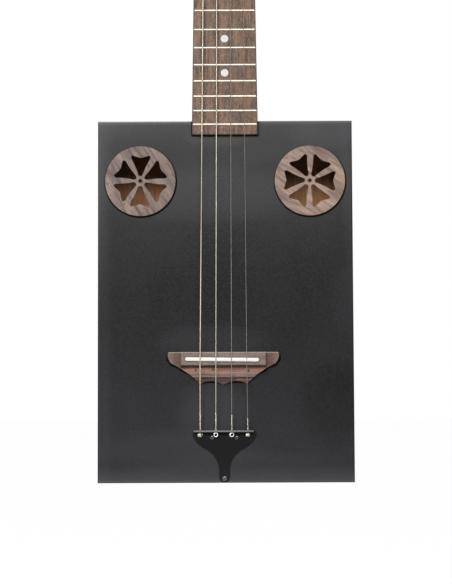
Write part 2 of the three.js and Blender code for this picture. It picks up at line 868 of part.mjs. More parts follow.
function makeNut() {
  const half = nutWidth / 2;
  const topY = fretTopY - nutAction - nutCollar;
  const shape = new THREE.Shape();
  shape.moveTo(faceY, nutZ);
  shape.lineTo(topY, nutZ);
  shape.lineTo(topY, nutZ + nutThickness * nutFlatShare);
  shape.lineTo(topY + nutCollar, nutBackZ);
  shape.lineTo(faceY, nutBackZ);
  shape.closePath();
  let nut = slabAcross(shape, -half, half, 1);
  stringDiameters.forEach((diameter, i) => {
    const slotHalf = diameter / 2 + stringGap;
    const floorY = nutStringY(i) + diameter / 2 + stringGap;
    const x = nutStringX(i);
    nut = nut.subtract(
      block(x - slotHalf, x + slotHalf, topY - overrun, floorY, nutZ - overrun, nutBackZ + overrun),
    );
  });
  addPiece("nut", nut, bone);
}

// Tuning machines: strings 1 and 2 on the left, 3 and 4 on the right, the outer strings nearer
const nearPostZ = nutBackZ + nearPostRise;
const tunerPlaces = [
  { side: -1, z: nearPostZ },
  { side: -1, z: nearPostZ + postPitch },
  { side: 1, z: nearPostZ + postPitch },
  { side: 1, z: nearPostZ },
];
const gearFrontY = headBackY + tunerPlateThickness + fitGap;
const wormY = gearFrontY + gearThickness / 2 + shaftRadius;
const wormDrop = gearRadius + wormRadius + fitGap;

function tunerPlate(side, z) {
  const x = side * postX;
  const half = tunerPlateWidth / 2;
  const middle = z - wormDrop / 2;
  const straight = tunerPlateLength / 2 - half;
  const shape = new THREE.Shape();
  shape.absarc(0, straight, half, 0, Math.PI, false);
  shape.absarc(0, -straight, half, Math.PI, 2 * Math.PI, false);
  shape.closePath();
  const backY = headBackY + tunerPlateThickness;
  let plate = slabForward(shape, backY, tunerPlateThickness, curveSteps).translate([x, 0, middle]);
  const lugZ = z - wormDrop;
  for (const end of [-1, 1]) {
    const inner = wormLength / 2 + fitGap;
    const near = x + end * inner;
    const far = x + end * (inner + lugThickness);
    plate = plate.add(
      block(
        Math.min(near, far),
        Math.max(near, far),
        headBackY,
        wormY + lugWidth / 2,
        lugZ - lugWidth / 2,
        lugZ + lugWidth / 2,
      ),
    );
    const screwZ = middle + end * straight;
    plate = plate.add(
      turnedAlongY(
        [
          [0, -backY - tunerScrewHeadRise],
          [tunerScrewHeadRadius * screwShares.crown, -backY - tunerScrewHeadRise],
          [tunerScrewHeadRadius, -backY],
          [0, -backY],
        ],
        x,
        0,
        screwZ,
        smallSides,
      ),
    );
  }
  const bore = shaftRadius + fitGap;
  const reach = tunerPlateWidth;
  plate = plate.subtract(barAlongX(bore, x - reach, x + reach, wormY, lugZ, smallSides));
  const postBore = postRadius + fitGap;
  return plate.subtract(barAlongY(postBore, x, headBackY - overrun, backY + overrun, z, roundSides));
}

// Shares of the tooth pitch: along the root, then along the tip
const gearToothShares = [0, 0.35, 0.5, 0.85];

function gearOutline() {
  const root = gearRadius - gearToothDepth;
  const shape = new THREE.Shape();
  for (let i = 0; i < gearTeeth; i++) {
    const pitch = (2 * Math.PI) / gearTeeth;
    gearToothShares.forEach((share, corner) => {
      const radius = corner < 2 ? root : gearRadius;
      const angle = (i + share) * pitch;
      const place = [radius * Math.cos(angle), radius * Math.sin(angle)];
      if (i || corner) shape.lineTo(...place);
      else shape.moveTo(...place);
    });
  }
  shape.closePath();
  return shape;
}

function tunerPost(side, z, holeY) {
  const x = side * postX;
  const gearBackY = gearFrontY + gearThickness;
  const gear = slabForward(gearOutline(), gearBackY, gearThickness, 1).translate([x, 0, z]);
  const tip = postRise + headThickness + tunerPlateThickness + fitGap;
  const post = turnedAlongY(
    [
      [0, -gearThickness - tunerScrewHeadRise],
      [tunerScrewHeadRadius * screwShares.crown, -gearThickness - tunerScrewHeadRise],
      [tunerScrewHeadRadius, -gearThickness],
      [postRadius, -gearThickness],
      [postRadius, tip - (postRadius - postTipRadius)],
      [postTipRadius, tip],
      [0, tip],
    ],
    x,
    gearFrontY,
    z,
    roundSides,
  );
  const reach = postRadius + overrun;
  return post.add(gear).subtract(barAlongX(postHoleRadius, x - reach, x + reach, holeY, z, smallSides));
}

function tunerBushing(side, z) {
  const bore = postRadius + fitGap;
  return turnedAlongY(
    [
      [bore, -bushingDepth],
      [bushingRadius, -bushingDepth],
      [bushingRadius, 0],
      [bushingCollarRadius, 0],
      [bushingCollarRadius, bushingCollarRise / 2],
      [bushingRadius, bushingCollarRise],
      [bore, bushingCollarRise],
      [bore, -bushingDepth],
    ],
    side * postX,
    headFaceY,
    z,
    roundSides,
  );
}

// Shares of the button's length along its shaft and of half its width
const buttonShares = {
  neck: [0, 0.28],
  neckPull: [0.1, 1],
  cheekPull: [0.3, 1],
  cheek: [0.55, 1],
  corner: [0.9, 1],
  endPull: [1, 0.5],
  end: [1, 0],
};

function tunerButton(side, z) {
  const x = side * postX;
  const axisZ = z - wormDrop;
  const innerEnd = wormLength / 2 + lugThickness + 2 * fitGap;
  const buttonStart = postInset + buttonStandOff;
  const bar = (from, to, radius, sides) => {
    const a = x + side * from;
    const b = x + side * to;
    return barAlongX(radius, Math.min(a, b), Math.max(a, b), wormY, axisZ, sides);
  };
  const shaft = bar(-innerEnd, buttonStart + overrun, shaftRadius, smallSides);
  const worm = bar(-wormLength / 2, wormLength / 2, wormRadius, roundSides);
  const at = (edge, [along, across]) => [buttonLength * along, (edge * buttonWidth * across) / 2];
  const s = buttonShares;
  const shape = new THREE.Shape();
  shape.moveTo(...at(-1, s.neck));
  shape.bezierCurveTo(...at(-1, s.neckPull), ...at(-1, s.cheekPull), ...at(-1, s.cheek));
  shape.bezierCurveTo(...at(-1, s.corner), ...at(-1, s.endPull), ...at(1, s.end));
  shape.bezierCurveTo(...at(1, s.endPull), ...at(1, s.corner), ...at(1, s.cheek));
  shape.bezierCurveTo(...at(1, s.cheekPull), ...at(1, s.neckPull), ...at(1, s.neck));
  shape.closePath();
  const geometry = new THREE.ExtrudeGeometry(shape, {
    depth: buttonThickness - 2 * buttonEdge,
    bevelEnabled: true,
    bevelThickness: buttonEdge,
    bevelSize: buttonEdge,
    bevelOffset: -buttonEdge,
    bevelSegments: 2,
    curveSegments: curveSteps / 2,
  });
  geometry.translate(0, 0, buttonEdge - buttonThickness / 2);
  geometry.rotateX(Math.PI / 2);
  if (side < 0) geometry.rotateZ(Math.PI);
  geometry.translate(x + side * buttonStart, wormY, axisZ);
  return joined([shaft, worm, solid(geometry)]);
}

// Strings: each runs from its ball end over the saddle and the nut to its winding on the post
class Route extends THREE.Curve {
  constructor(points) {
    super();
    this.points = points;
  }
  getPoint(share) {
    const last = this.points.length - 1;
    const at = Math.min(last - 1, Math.floor(share * last));
    return this.points[at].clone().lerp(this.points[at + 1], share * last - at);
  }
  getPointAt(share) {
    return this.getPoint(share);
  }
  getTangentAt(share) {
    const last = this.points.length - 1;
    const at = Math.round(share * last);
    const before = this.points[Math.max(0, at - 1)];
    const after = this.points[Math.min(last, at + 1)];
    return after.clone().sub(before).normalize();
  }
}

function tube(points, radius) {
  const ring = new THREE.Shape();
  for (let i = 0; i < stringSides; i++) {
    const angle = (i * 2 * Math.PI) / stringSides;
    const place = [radius * Math.cos(angle), radius * Math.sin(angle)];
    if (i) ring.lineTo(...place);
    else ring.moveTo(...place);
  }
  ring.closePath();
  return solid(
    new THREE.ExtrudeGeometry(ring, { steps: points.length - 1, extrudePath: new Route(points) }),
  );
}

// The winding starts where the string meets the post and works down towards the head
function windingPoints(i, nutPoint) {
  const { side, z } = tunerPlaces[i];
  const radius = postRadius + fitGap + stringDiameters[i] / 2;
  const centreX = side * postX;
  const outward = -side;
  const fromX = (nutPoint.x - centreX) * outward;
  const fromZ = nutPoint.z - z;
  const start = Math.atan2(fromZ, fromX) + Math.acos(radius / Math.hypot(fromX, fromZ));
  const startY = headFaceY - windingRise;
  const pitch = stringDiameters[i] + windingGap;
  const steps = windingTurns * loopSteps;
  const points = [];
  for (let k = 0; k <= steps; k++) {
    const angle = start + (k * 2 * Math.PI) / loopSteps;
    points.push(
      new THREE.Vector3(
        centreX + outward * radius * Math.cos(angle),
        startY + (pitch * k) / loopSteps,
        z + radius * Math.sin(angle),
      ),
    );
  }
  return points;
}

function leastGap(points, diameter) {
  let least = Infinity;
  for (let a = 0; a < points.length; a++) {
    for (let b = a + loopSteps / 2; b < points.length; b++) {
      least = Math.min(least, points[a].distanceTo(points[b]) - diameter);
    }
  }
  return least;
}

function makeString(i) {
  const diameter = stringDiameters[i];
  const radius = diameter / 2;
  const holeY = faceY - flangeHoleRise;
  const wallMiddle = (ballBoreRadius + ballGrooveRadius) / 2;
  const start = new THREE.Vector3(ballX(i), holeY, ballZ + wallMiddle);
  const saddleZ = saddleCentreHeight - (saddleStringX(i) - saddleX) * Math.tan(degrees(saddleSlantDegrees));
  const overSaddle = new THREE.Vector3(saddleStringX(i), saddleTopY - stringGap - radius, saddleZ);
  const overNut = new THREE.Vector3(nutStringX(i), nutStringY(i), nutZ);
  const offNut = new THREE.Vector3(nutStringX(i), nutStringY(i), nutBackZ);
  const winding = windingPoints(i, offNut);
  console.log("string", i + 1, "least gap between turns", leastGap(winding, diameter).toFixed(2), "mm");
  const points = [start, overSaddle, overNut, offNut, ...winding];
  const twistEnd = start.clone().lerp(overSaddle, twistLengths[i] / start.distanceTo(overSaddle));
  const twist = tube([start, twistEnd], radius * twistDiameterRatio);
  const profile = [
    [ballBoreRadius, -ballWidth / 2],
    [ballRadius, -ballWidth / 2],
    [ballRadius, -ballWidth / 4],
    [ballGrooveRadius, 0],
    [ballRadius, ballWidth / 4],
    [ballRadius, ballWidth / 2],
    [ballBoreRadius, ballWidth / 2],
    [ballBoreRadius, -ballWidth / 2],
  ];
  const ball = turnedAlongY(profile, 0, 0, 0, roundSides)
    .rotate([0, 0, ballTurnDegrees[i]])
    .translate([ballX(i), holeY, ballZ]);
  const material = i < 2 ? bronze : steel;
  addPiece("string_" + (i + 1), joined([ball, twist, tube(points, radius)]), material);
  return winding[winding.length - 1].y;
}

function degrees(angle) {
  return THREE.MathUtils.degToRad(angle);
}

function makeTuners(holePlaces) {
  tunerPlaces.forEach(({ side, z }, i) => {
    const number = i + 1;
    addPiece("tuner_plate_" + number, tunerPlate(side, z), nickel);
    addPiece("tuner_post_" + number, tunerPost(side, z, holePlaces[i]), nickel);
    addPiece("tuner_bushing_" + number, tunerBushing(side, z), nickel);
    addPiece("tuner_button_" + number, tunerButton(side, z), creamButton);
  });
}

makeBox();
makeInsideOfBox();
makeDisc("soundhole_disc_left", -1, discTurnDegrees.left);
makeDisc("soundhole_disc_right", 1, discTurnDegrees.right);
makeBridge();
makeTailpiece();
makeNeck();
makeFretboard();
makeNut();
makeTuners(stringDiameters.map((diameter, i) => makeString(i)));

export default guitar;
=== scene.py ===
import math

import bmesh
import bpy
from mathutils import Matrix, Vector


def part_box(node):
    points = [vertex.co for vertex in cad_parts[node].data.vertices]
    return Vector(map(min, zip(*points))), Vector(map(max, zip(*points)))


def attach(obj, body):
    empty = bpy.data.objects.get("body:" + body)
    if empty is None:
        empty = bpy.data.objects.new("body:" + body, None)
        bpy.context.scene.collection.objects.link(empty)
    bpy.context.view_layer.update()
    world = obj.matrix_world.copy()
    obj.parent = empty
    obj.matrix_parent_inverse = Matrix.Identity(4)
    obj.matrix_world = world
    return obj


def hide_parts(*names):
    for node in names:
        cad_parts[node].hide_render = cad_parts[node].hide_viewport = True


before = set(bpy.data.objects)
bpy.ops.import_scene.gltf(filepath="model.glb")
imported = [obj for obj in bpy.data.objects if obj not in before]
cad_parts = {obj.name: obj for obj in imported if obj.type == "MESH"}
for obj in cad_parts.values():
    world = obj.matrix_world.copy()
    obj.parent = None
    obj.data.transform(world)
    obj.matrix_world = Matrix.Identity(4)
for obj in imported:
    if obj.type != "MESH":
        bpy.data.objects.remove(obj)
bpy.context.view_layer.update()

scene = bpy.context.scene


# Colours are written as they look on a screen, 0 to 255
def tint(red, green, blue):
    def linear(level):
        share = level / 255
        return share / 12.92 if share < 0.04045 else ((share + 0.055) / 1.055) ** 2.4

    return (linear(red), linear(green), linear(blue), 1)


# A number inside a material: sums on it add the nodes
class Value:
    def __init__(self, nodes, socket):
        self.nodes = nodes
        self.socket = socket

    def maths(self, operation, *values):
        return self.nodes.node("ShaderNodeMath", {"operation": operation}, dict(enumerate(values)))

    def __add__(self, other):
        return self.maths("ADD", self, other)

    def __sub__(self, other):
        return self.maths("SUBTRACT", self, other)

    def __rsub__(self, other):
        return self.maths("SUBTRACT", other, self)

    def __mul__(self, other):
        return self.maths("MULTIPLY", self, other)

    def __abs__(self):
        return self.maths("ABSOLUTE", self)

    __radd__ = __add__
    __rmul__ = __mul__


# A node tree that is built up node by node
class Nodes:
    def __init__(self, tree):
        self.tree = tree

    def node(self, kind, settings=None, inputs=None, output=0):
        made = self.tree.nodes.new(kind)
        for name, value in (settings or {}).items():
            setattr(made, name, value)
        for socket, value in (inputs or {}).items():
            self.feed(made.inputs[socket], value)
        return Value(self, made.outputs[output])

    def feed(self, socket, value):
        if isinstance(value, Value):
            self.tree.links.new(value.socket, socket)
        else:
            socket.default_value = value


# A material with a Principled shader
class Finish(Nodes):
    sockets = {"colour": "Base Color", "roughness": "Roughness", "metallic": "Metallic", "normal": "Normal"}

    def __init__(self, name, constants):
        self.material = bpy.data.materials.new(name)
        self.material.use_nodes = True
        super().__init__(self.material.node_tree)
        self.shader = self.tree.nodes["Principled BSDF"]
        for socket, value in constants.items():
            self.shader.inputs[socket].default_value = value
        self.place = self.node("ShaderNodeTexCoord", output="Object")

    def paint(self, **values):
        for name, value in values.items():
            self.feed(self.shader.inputs[self.sockets[name]], value)

    # Noise whose blobs are about this big along each axis, with the axes turned first
    def noise(self, size, turn=(0, 0, 0), detail=3, shift=(0, 0, 0), distortion=0):
        spot = self.node(
            "ShaderNodeMapping",
            {"vector_type": "TEXTURE"},
            {"Vector": self.place, "Location": shift, "Rotation": turn, "Scale": size},
        )
        inputs = {"Vector": spot, "Scale": 1, "Detail": detail, "Distortion": distortion}
        return self.node("ShaderNodeTexNoise", None, inputs)

    # 0 below the first level and 1 above the second
    def between(self, value, low, high):
        inputs = {"Value": value, "From Min": low, "From Max": high}
        return self.node("ShaderNodeMapRange", {"clamp": True, "interpolation_type": "SMOOTHSTEP"}, inputs)

    # The same, but up to this strength
    def fade(self, value, low, high, strength):
        return self.between(value, low, high) * strength

    def mix(self, first, second, share):
        return self.node("ShaderNodeMix", {"data_type": "RGBA"}, {0: share, 6: first, 7: second}, 2)

    # Lays a mark, which is a colour and its strength, over the colour so far
    def stain(self, colour, mark, where):
        shade, strength = mark
        return self.mix(colour, shade, where * strength)

    def bump(self, height, distance, strength=1):
        inputs = {"Strength": strength, "Distance": distance, "Height": height}
        return self.node("ShaderNodeBump", None, inputs)

    def axis(self, name):
        return self.node("ShaderNodeSeparateXYZ", None, {"Vector": self.place}, name)

    # 1 in the middle of an oval on the front and 0 at its edge
    def oval(self, x, z, halfX, halfZ):
        across = (self.axis("X") - x) * (1 / halfX)
        up = (self.axis("Z") - z) * (1 / halfZ)
        return self.between(across * across + up * up, 1, 0)


# Satin black paint: orange peel, a fine speckle and faint broad clouds, with painted sheen, painted
# highlights and painted shadows laid into its colour
satinBlack = {
    "colour": tint(25, 25, 26),
    "dusty": tint(36, 36, 38),
    # the paler colours of the painted sheen and of the painted highlight along the edges
    "edge": tint(84, 84, 87),
    "thin": tint(176, 176, 180),
    "roughness": 0.28,
    "specular": 0.11,
    "peel": (0.0013, 0.0013, 0.0013),
    "peelDepth": 0.0001,
    "cloud": (0.05, 0.05, 0.07),
    "speckle": (0.4, 0.66),
    "unevenness": 0.12,
    "cloudLift": 0.008,
    # heights and places across between which each stretch of painted sheen fades in, and its strength
    "foot": (0.018, -0.002, 0.5),
    "lowerHalf": (0.18, 0.02, 0.22),
    "overTop": (-0.02, 0.002, 0.2),
    "flank": (0.095, 0.104, 0.11),
    "rightSide": (-0.01, 0.01, 0.95),
    "rightSideUp": (0.28, 0.21),
    "front": (-0.027, -0.03),
    # the same for the painted highlight along the edges, from the top edge down and at the foot
    "highlightTop": (0.0045, 0, 0.13),
    "highlightLine": (0.0013, 0.0005),
    "highlightLineSides": (0.05, -0.05, 0.45),
    "highlightLineLeast": 0.3,
    "highlightFoot": (0.0035, 0, 0.07),
    # broad patches of painted sheen, and of painted shade where the strength is below 0: middle across and
    # up, half width, half height and how strongly each shows
    "patches": [
        (-0.012, 0.248, 0.11, 0.03, 0.2),
        (-0.01, 0.060, 0.037, 0.036, 0.24),
        (-0.012, 0.120, 0.06, 0.02, 0.15),
        (-0.04, 0.028, 0.085, 0.022, 0.14),
        (0.03, 0.016, 0.09, 0.014, 0.1),
        (-0.005, 0.2985, 0.036, 0.012, 0.2),
        (0.086, 0.300, 0.04, 0.018, 0.18),
        (0.108, 0.155, 0.022, 0.04, 0.1),
        (0.095, 0.068, 0.04, 0.045, -0.14),
    ],
}
# Painted shadow: a dark, dull line where the discs, the bridge and the fretboard meet the lid, lying mostly
# below and to the right of them
paintedShadow = {
    "colour": tint(13, 10, 9),
    "dulling": 0.6,
    "width": 0.0008,
    "across": 0.0003,
    "down": 0.0006,
    "soft": 0.0003,
    # half the bridge's width where it starts, then low and high of each stretch and how much it widens
    "bridgeHalf": 0.0216,
    "bridgeStretches": [
        (0.086, 0.0911, 0.0047),
        (0.0911, 0.0976, 0.0108),
        (0.0976, 0.1016, 0.0086),
        (0.1016, 0.106, 0.0028),
    ],
    "bridgeWidth": 0.0009,
    "bridgeDown": 0.00096,
    "bridgeFoot": (0.002, 0.0026),
    "bridgeTop": 0.0008,
    "boardDown": (0.0013, 0.0007),
    "boardHalf": (0.0294, 0.0289),
}


def middleX(node):
    low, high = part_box(node)
    return (low.x + high.x) / 2


def middleZ(node):
    low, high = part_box(node)
    return (low.z + high.z) / 2


discNodes = {side: "soundhole_disc_" + side for side in ("left", "right")}


# The square of how far a point lies from the middle of a disc
def discSquare(finish, node, across=0, down=0):
    overX = finish.axis("X") - middleX(node) - across
    overZ = finish.axis("Z") - middleZ(node) + down
    return overX * overX + overZ * overZ


def shadowRoundDisc(finish, node):
    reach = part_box(node)[1].x - middleX(node) + paintedShadow["width"]
    far = discSquare(finish, node, paintedShadow["across"], paintedShadow["down"])
    return finish.between(far, (reach + paintedShadow["soft"]) ** 2, (reach - paintedShadow["soft"]) ** 2)


# Only below the bridge's slanting lower edges does the painted shadow show
def shadowBesideBridge(finish):
    low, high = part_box("bridge")
    up = finish.axis("Z") + paintedShadow["bridgeDown"]
    half = paintedShadow["bridgeHalf"]
    for bottom, top, wider in paintedShadow["bridgeStretches"]:
        half = finish.between(up, bottom, top) * wider + half
    aside = abs(finish.axis("X") - middleX("bridge") - paintedShadow["across"])
    beside = finish.between(aside - half, paintedShadow["bridgeWidth"], paintedShadow["soft"])
    aboveFoot = finish.between(up, *[low.z + rise for rise in paintedShadow["bridgeFoot"]])
    return beside * aboveFoot * finish.between(up, high.z, high.z - paintedShadow["bridgeTop"])


def shadowUnderBoard(finish):
    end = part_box("fretboard")[0].z
    below = finish.between(finish.axis("Z"), *[end - drop for drop in paintedShadow["boardDown"]])
    return below * finish.between(abs(finish.axis("X")), *paintedShadow["boardHalf"])


# Painted sheen: paler along the foot and the top, on the flanks and in the patches
def paintedSheenShare(finish, cloud, onFront):
    look = satinBlack
    across, height = finish.axis("X"), finish.axis("Z") + (cloud - 0.5) * look["cloudLift"]
    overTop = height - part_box("top_plate")[1].z
    low = finish.fade(height, *look["foot"]) + finish.fade(height, *look["lowerHalf"])
    top = finish.fade(overTop, *look["overTop"])
    rightSide = finish.fade(across, *look["rightSide"]) * finish.between(height, *look["rightSideUp"])
    flanks = finish.fade(abs(across), *look["flank"]) * (1 - rightSide)
    patches = 0
    for *place, share in look["patches"]:
        patches = finish.oval(*place) * share + patches
    return low + top + flanks + patches * onFront


# A painted highlight along the lid's top and bottom edges, strongest at the left of the top
def paintedHighlightShare(finish):
    look = satinBlack
    height = finish.axis("Z")
    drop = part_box("top_plate")[1].z - height
    marked = finish.fade(finish.axis("X"), *look["highlightLineSides"]) + look["highlightLineLeast"]
    line = finish.between(drop, *look["highlightLine"]) * marked
    return finish.fade(drop, *look["highlightTop"]) + line + finish.fade(height, *look["highlightFoot"])


def makeSatinBlack():
    look = satinBlack
    finish = Finish("satinBlack", {"Specular IOR Level": look["specular"]})
    cloud = finish.noise(look["cloud"])
    peel = finish.noise(look["peel"])
    onFront = finish.between(finish.axis("Y"), *look["front"])
    speckle = finish.between(peel * 0.75 + cloud * 0.25, *look["speckle"])
    colour = finish.mix(look["colour"], look["dusty"], speckle)
    colour = finish.mix(colour, look["edge"], paintedSheenShare(finish, cloud, onFront))
    colour = finish.mix(colour, look["thin"], paintedHighlightShare(finish) * onFront)
    dull = 0
    # painted shadows beside the bridge, under the fretboard and round the discs, which also make the paint
    # duller
    shares = [shadowBesideBridge(finish) + shadowUnderBoard(finish)]
    shares += [shadowRoundDisc(finish, node) for node in discNodes.values()]
    for share in shares:
        dull = share * onFront + dull
        colour = finish.mix(colour, paintedShadow["colour"], share * onFront)
    uneven = (cloud + peel - 1) * look["unevenness"]
    finish.paint(
        colour=colour,
        roughness=look["roughness"] + uneven + dull * paintedShadow["dulling"],
        normal=finish.bump(peel, look["peelDepth"], 0.5),
    )
    return finish.material


# Wood: bands, streaks, thin dark lines and short pores, all drawn out along the grain.
# The grain is turned by these degrees, and each noise has its size across and along it in metres
woods = {
    "discWoodLeft": {
        "turn": -31,
        "colours": [tint(94, 81, 77), tint(130, 113, 106), tint(166, 144, 131)],
        "streak": tint(98, 92, 96),
        "line": tint(70, 55, 48),
        "band": (0.007, 0.06),
        "fine": (0.002, 0.026),
        "shift": (0.012, 0, 0.05),
    },
    "discWoodRight": {
        "turn": -56,
        "colours": [tint(122, 102, 92), tint(156, 133, 120), tint(186, 160, 142)],
        "streak": tint(118, 104, 100),
        "line": tint(94, 74, 62),
        "band": (0.008, 0.03),
        "fine": (0.0018, 0.016),
        "shift": (-0.031, 0, 0.02),
    },
    "bridgeWood": {
        "turn": 90,
        "colours": [tint(92, 72, 64), tint(128, 106, 96), tint(164, 134, 122)],
        "streak": tint(108, 98, 92),
        "line": tint(74, 54, 44),
        "band": (0.0024, 0.05),
        "fine": (0.0008, 0.014),
        "shift": (0.003, 0, 0.011),
    },
    "boardWood": {
        "turn": 0,
        "colours": [tint(86, 69, 58), tint(118, 95, 79), tint(149, 118, 96)],
        "streak": tint(80, 71, 66),
        "line": tint(62, 46, 37),
        "band": (0.0042, 0.03),
        "fine": (0.001, 0.01),
        "shift": (0.02, 0, 0.007),
    },
    "neckWood": {
        "turn": 2,
        "colours": [tint(118, 74, 46), tint(146, 96, 60), tint(168, 116, 76)],
        "streak": tint(104, 62, 38),
        "line": tint(84, 48, 30),
        "band": (0.009, 0.14),
        "fine": (0.001, 0.02),
        "shift": (0.004, 0, 0.03),
    },
    "bareWood": {
        "turn": 0,
        "colours": [tint(190, 131, 90), tint(208, 149, 104), tint(222, 166, 120)],
        "streak": tint(178, 119, 78),
        "line": tint(150, 98, 62),
        "band": (0.012, 0.12),
        "fine": (0.0012, 0.03),
        "shift": (0.01, 0, 0),
    },
    # the bare wood again but darker: painted shade on the inner faces that the light through the holes does
    # not reach
    "shadedInnerWood": {
        "turn": 0,
        "colours": [tint(100, 74, 54), tint(112, 84, 62), tint(124, 94, 70)],
        "streak": tint(92, 68, 50),
        "line": tint(76, 56, 40),
        "band": (0.012, 0.12),
        "fine": (0.0012, 0.03),
        "shift": (0.01, 0, 0),
    },
    # the discs' side faces: a dark wood that is painted shade
    "shadedDiscEdge": {
        "turn": 90,
        "colours": [tint(40, 28, 22), tint(54, 39, 30), tint(70, 52, 40)],
        "streak": tint(36, 26, 22),
        "line": tint(28, 20, 16),
        "band": (0.002, 0.01),
        "fine": (0.0006, 0.003),
        "shift": (0, 0, 0),
    },
}
woodSurface = {
    "roughness": 0.55,
    "specular": 0.2,
    "poreDepth": 0.00008,
    # levels of the noises between which each mark fades in, and the strength of the three last
    "middle": (0.32, 0.52),
    "light": (0.48, 0.66),
    "streak": (0.52, 0.68),
    "line": (0.58, 0.68),
    "pore": (0.6, 0.7),
    "strengths": (0.7, 0.65, 0.5),
    # shares of the fine noise's size across and along, for the thin lines and for the pores
    "thinSize": (0.9, 1.6),
    "thinShift": (0.1, 0.1, 0.1),
    "poreSize": (0.4, 0.12),
}


def makeWood(name, marks=None):
    look, levels = woods[name], woodSurface
    finish = Finish(name, {"Specular IOR Level": levels["specular"]})
    across, along = look["fine"]

    def grain(size, detail, place=look["shift"], distortion=0):
        turn = (0, math.radians(look["turn"]), 0)
        return finish.noise((size[0], size[0], size[1]), turn, detail, place, distortion)

    def scaled(shares):
        return across * shares[0], along * shares[1]

    band = grain(look["band"], 2, distortion=0.8)
    fine = grain(look["fine"], 3, distortion=0.3)
    thin = grain(scaled(levels["thinSize"]), 2, levels["thinShift"], 0.2)
    line = finish.between(thin, *levels["line"])
    pore = finish.between(grain(scaled(levels["poreSize"]), 1), *levels["pore"])
    dark, middle, light = look["colours"]
    colour = finish.mix(dark, middle, finish.between(band, *levels["middle"]))
    colour = finish.mix(colour, light, finish.between(band * 0.5 + fine * 0.5, *levels["light"]))
    streak = finish.between(fine, *levels["streak"])
    shades = (look["streak"], look["line"], look["line"])
    for mark, where in zip(zip(shades, levels["strengths"]), (streak, line, pore)):
        colour = finish.stain(colour, mark, where)
    if marks:
        colour = marks(finish, colour)
    finish.paint(
        colour=colour,
        roughness=levels["roughness"] + (band + pore - 0.5) * 0.15,
        normal=finish.bump(fine * 0.5 - line * 0.5 - pore, levels["poreDepth"], 0.5),
    )
    return finish.material


# Bone white, with faint cloudy streaks along its length
def makeBone():
    finish = Finish("boneWhite", {"Specular IOR Level": 0.5, "Subsurface Weight": 0.1})
    streak = finish.noise((0.02, 0.0012, 0.0012))
    colour = finish.mix(tint(246, 238, 226), tint(254, 248, 240), streak)
    finish.paint(colour=colour, roughness=0.3 + streak * 0.15, normal=finish.bump(streak, 0.00002, 0.4))
    return finish.material


def makePearl():
    finish = Finish("pearlDot", {"Specular IOR Level": 0.25})
    swirl = finish.noise((0.0018, 0.0018, 0.0012), distortion=1.5)
    colour = finish.mix(tint(204, 200, 199), tint(220, 216, 215), finish.between(swirl, 0.35, 0.65))
    finish.paint(colour=colour, roughness=0.34 + swirl * 0.12)
    return finish.material


def makeCream():
    finish = Finish("creamButton", {"Specular IOR Level": 0.5, "Subsurface Weight": 0.15})
    swirl = finish.noise((0.006, 0.003, 0.006), detail=4, distortion=2)
    colour = finish.mix(tint(226, 214, 186), tint(246, 238, 218), finish.between(swirl, 0.3, 0.7))
    finish.paint(colour=colour, roughness=0.22 + swirl * 0.12)
    return finish.material


# Metals: fine rubbing marks, small stains and a slightly uneven polish
metals = {
    "fretMetal": {"colour": tint(195, 184, 171), "stain": tint(180, 168, 154), "roughness": 0.42},
    "nickelPlate": {"colour": tint(214, 210, 200), "stain": tint(184, 178, 166), "roughness": 0.24},
    "plainSteel": {
        "colour": tint(146, 140, 134),
        "stain": tint(122, 116, 110),
        "roughness": 0.34,
        "marked": {"midBox": (tint(58, 58, 60), 0.5), "nearBoardEnd": (tint(98, 84, 74), 0.85)},
    },
    "barSteel": {"colour": tint(120, 120, 122), "stain": tint(92, 88, 84), "roughness": 0.5},
    "ballMetal": {"colour": tint(226, 221, 212), "stain": tint(184, 176, 164), "roughness": 0.3},
    "blackScrew": {"colour": tint(38, 38, 40), "stain": tint(30, 30, 32), "roughness": 0.25},
    # paler metal for the crowns of the two small screws: a painted glint
    "glintScrew": {"colour": tint(98, 98, 100), "stain": tint(64, 64, 66), "roughness": 0.22},
    "darkScrew": {"colour": tint(92, 92, 92), "stain": tint(60, 60, 60), "roughness": 0.14},
    "twistWarm": {"colour": tint(240, 220, 194), "stain": tint(212, 186, 156), "roughness": 0.34},
    "twistPale": {"colour": tint(232, 224, 214), "stain": tint(200, 190, 178), "roughness": 0.34},
    "gearBrass": {"colour": tint(222, 190, 122), "stain": tint(180, 144, 84), "roughness": 0.3},
}
metalSurface = {"rub": (0.006, 0.0003, 0.0003), "stain": (0.004, 0.004, 0.004), "rubDepth": 0.00001}
# Heights between which the strings are darker: across the middle of the box, short of the fretboard, just
# below the fretboard's end, and over the fretboard
stringZones = {
    "midBox": (0.13, 0.26),
    "shortOfBoard": (0.303, 0.297),
    "overBoard": (0.298, 0.306),
    "nearBoardEnd": (0.285, 0.3),
}


def inZone(finish, zone):
    return finish.between(finish.axis("Z"), *stringZones[zone])


def makeMetal(name):
    look = metals[name]
    finish = Finish(name, {"Metallic": 1})
    marks = finish.noise(metalSurface["rub"], detail=2)
    stain = finish.noise(metalSurface["stain"])
    colour = finish.mix(look["colour"], look["stain"], finish.between(stain, 0.45, 0.75))
    for zone, mark in look.get("marked", {}).items():
        colour = finish.stain(colour, mark, inZone(finish, zone))
    roughness = look["roughness"] + (marks - 0.5) * 0.16 + (stain - 0.5) * 0.12
    finish.paint(colour=colour, roughness=roughness, normal=finish.bump(marks, metalSurface["rubDepth"], 0.4))
    return finish.material


# Round-wound wire: rings along the string, tarnished between them, and darker in some stretches along it
wraps = {
    "wrapLow": {
        "pitch": 0.00034,
        "colour": tint(189, 180, 163),
        "tarnish": tint(168, 154, 130),
        "dulling": 0.5,
        "boardDulling": 0.25,
    },
    "wrapHigh": {
        "pitch": 0.00028,
        "colour": tint(180, 174, 163),
        "tarnish": tint(158, 148, 134),
        "dulling": 0.05,
        "boardDulling": 0.15,
    },
}
wrapSurface = {"dull": tint(70, 64, 54), "stain": (0.004, 0.004, 0.012), "ringDepthShare": 0.06}


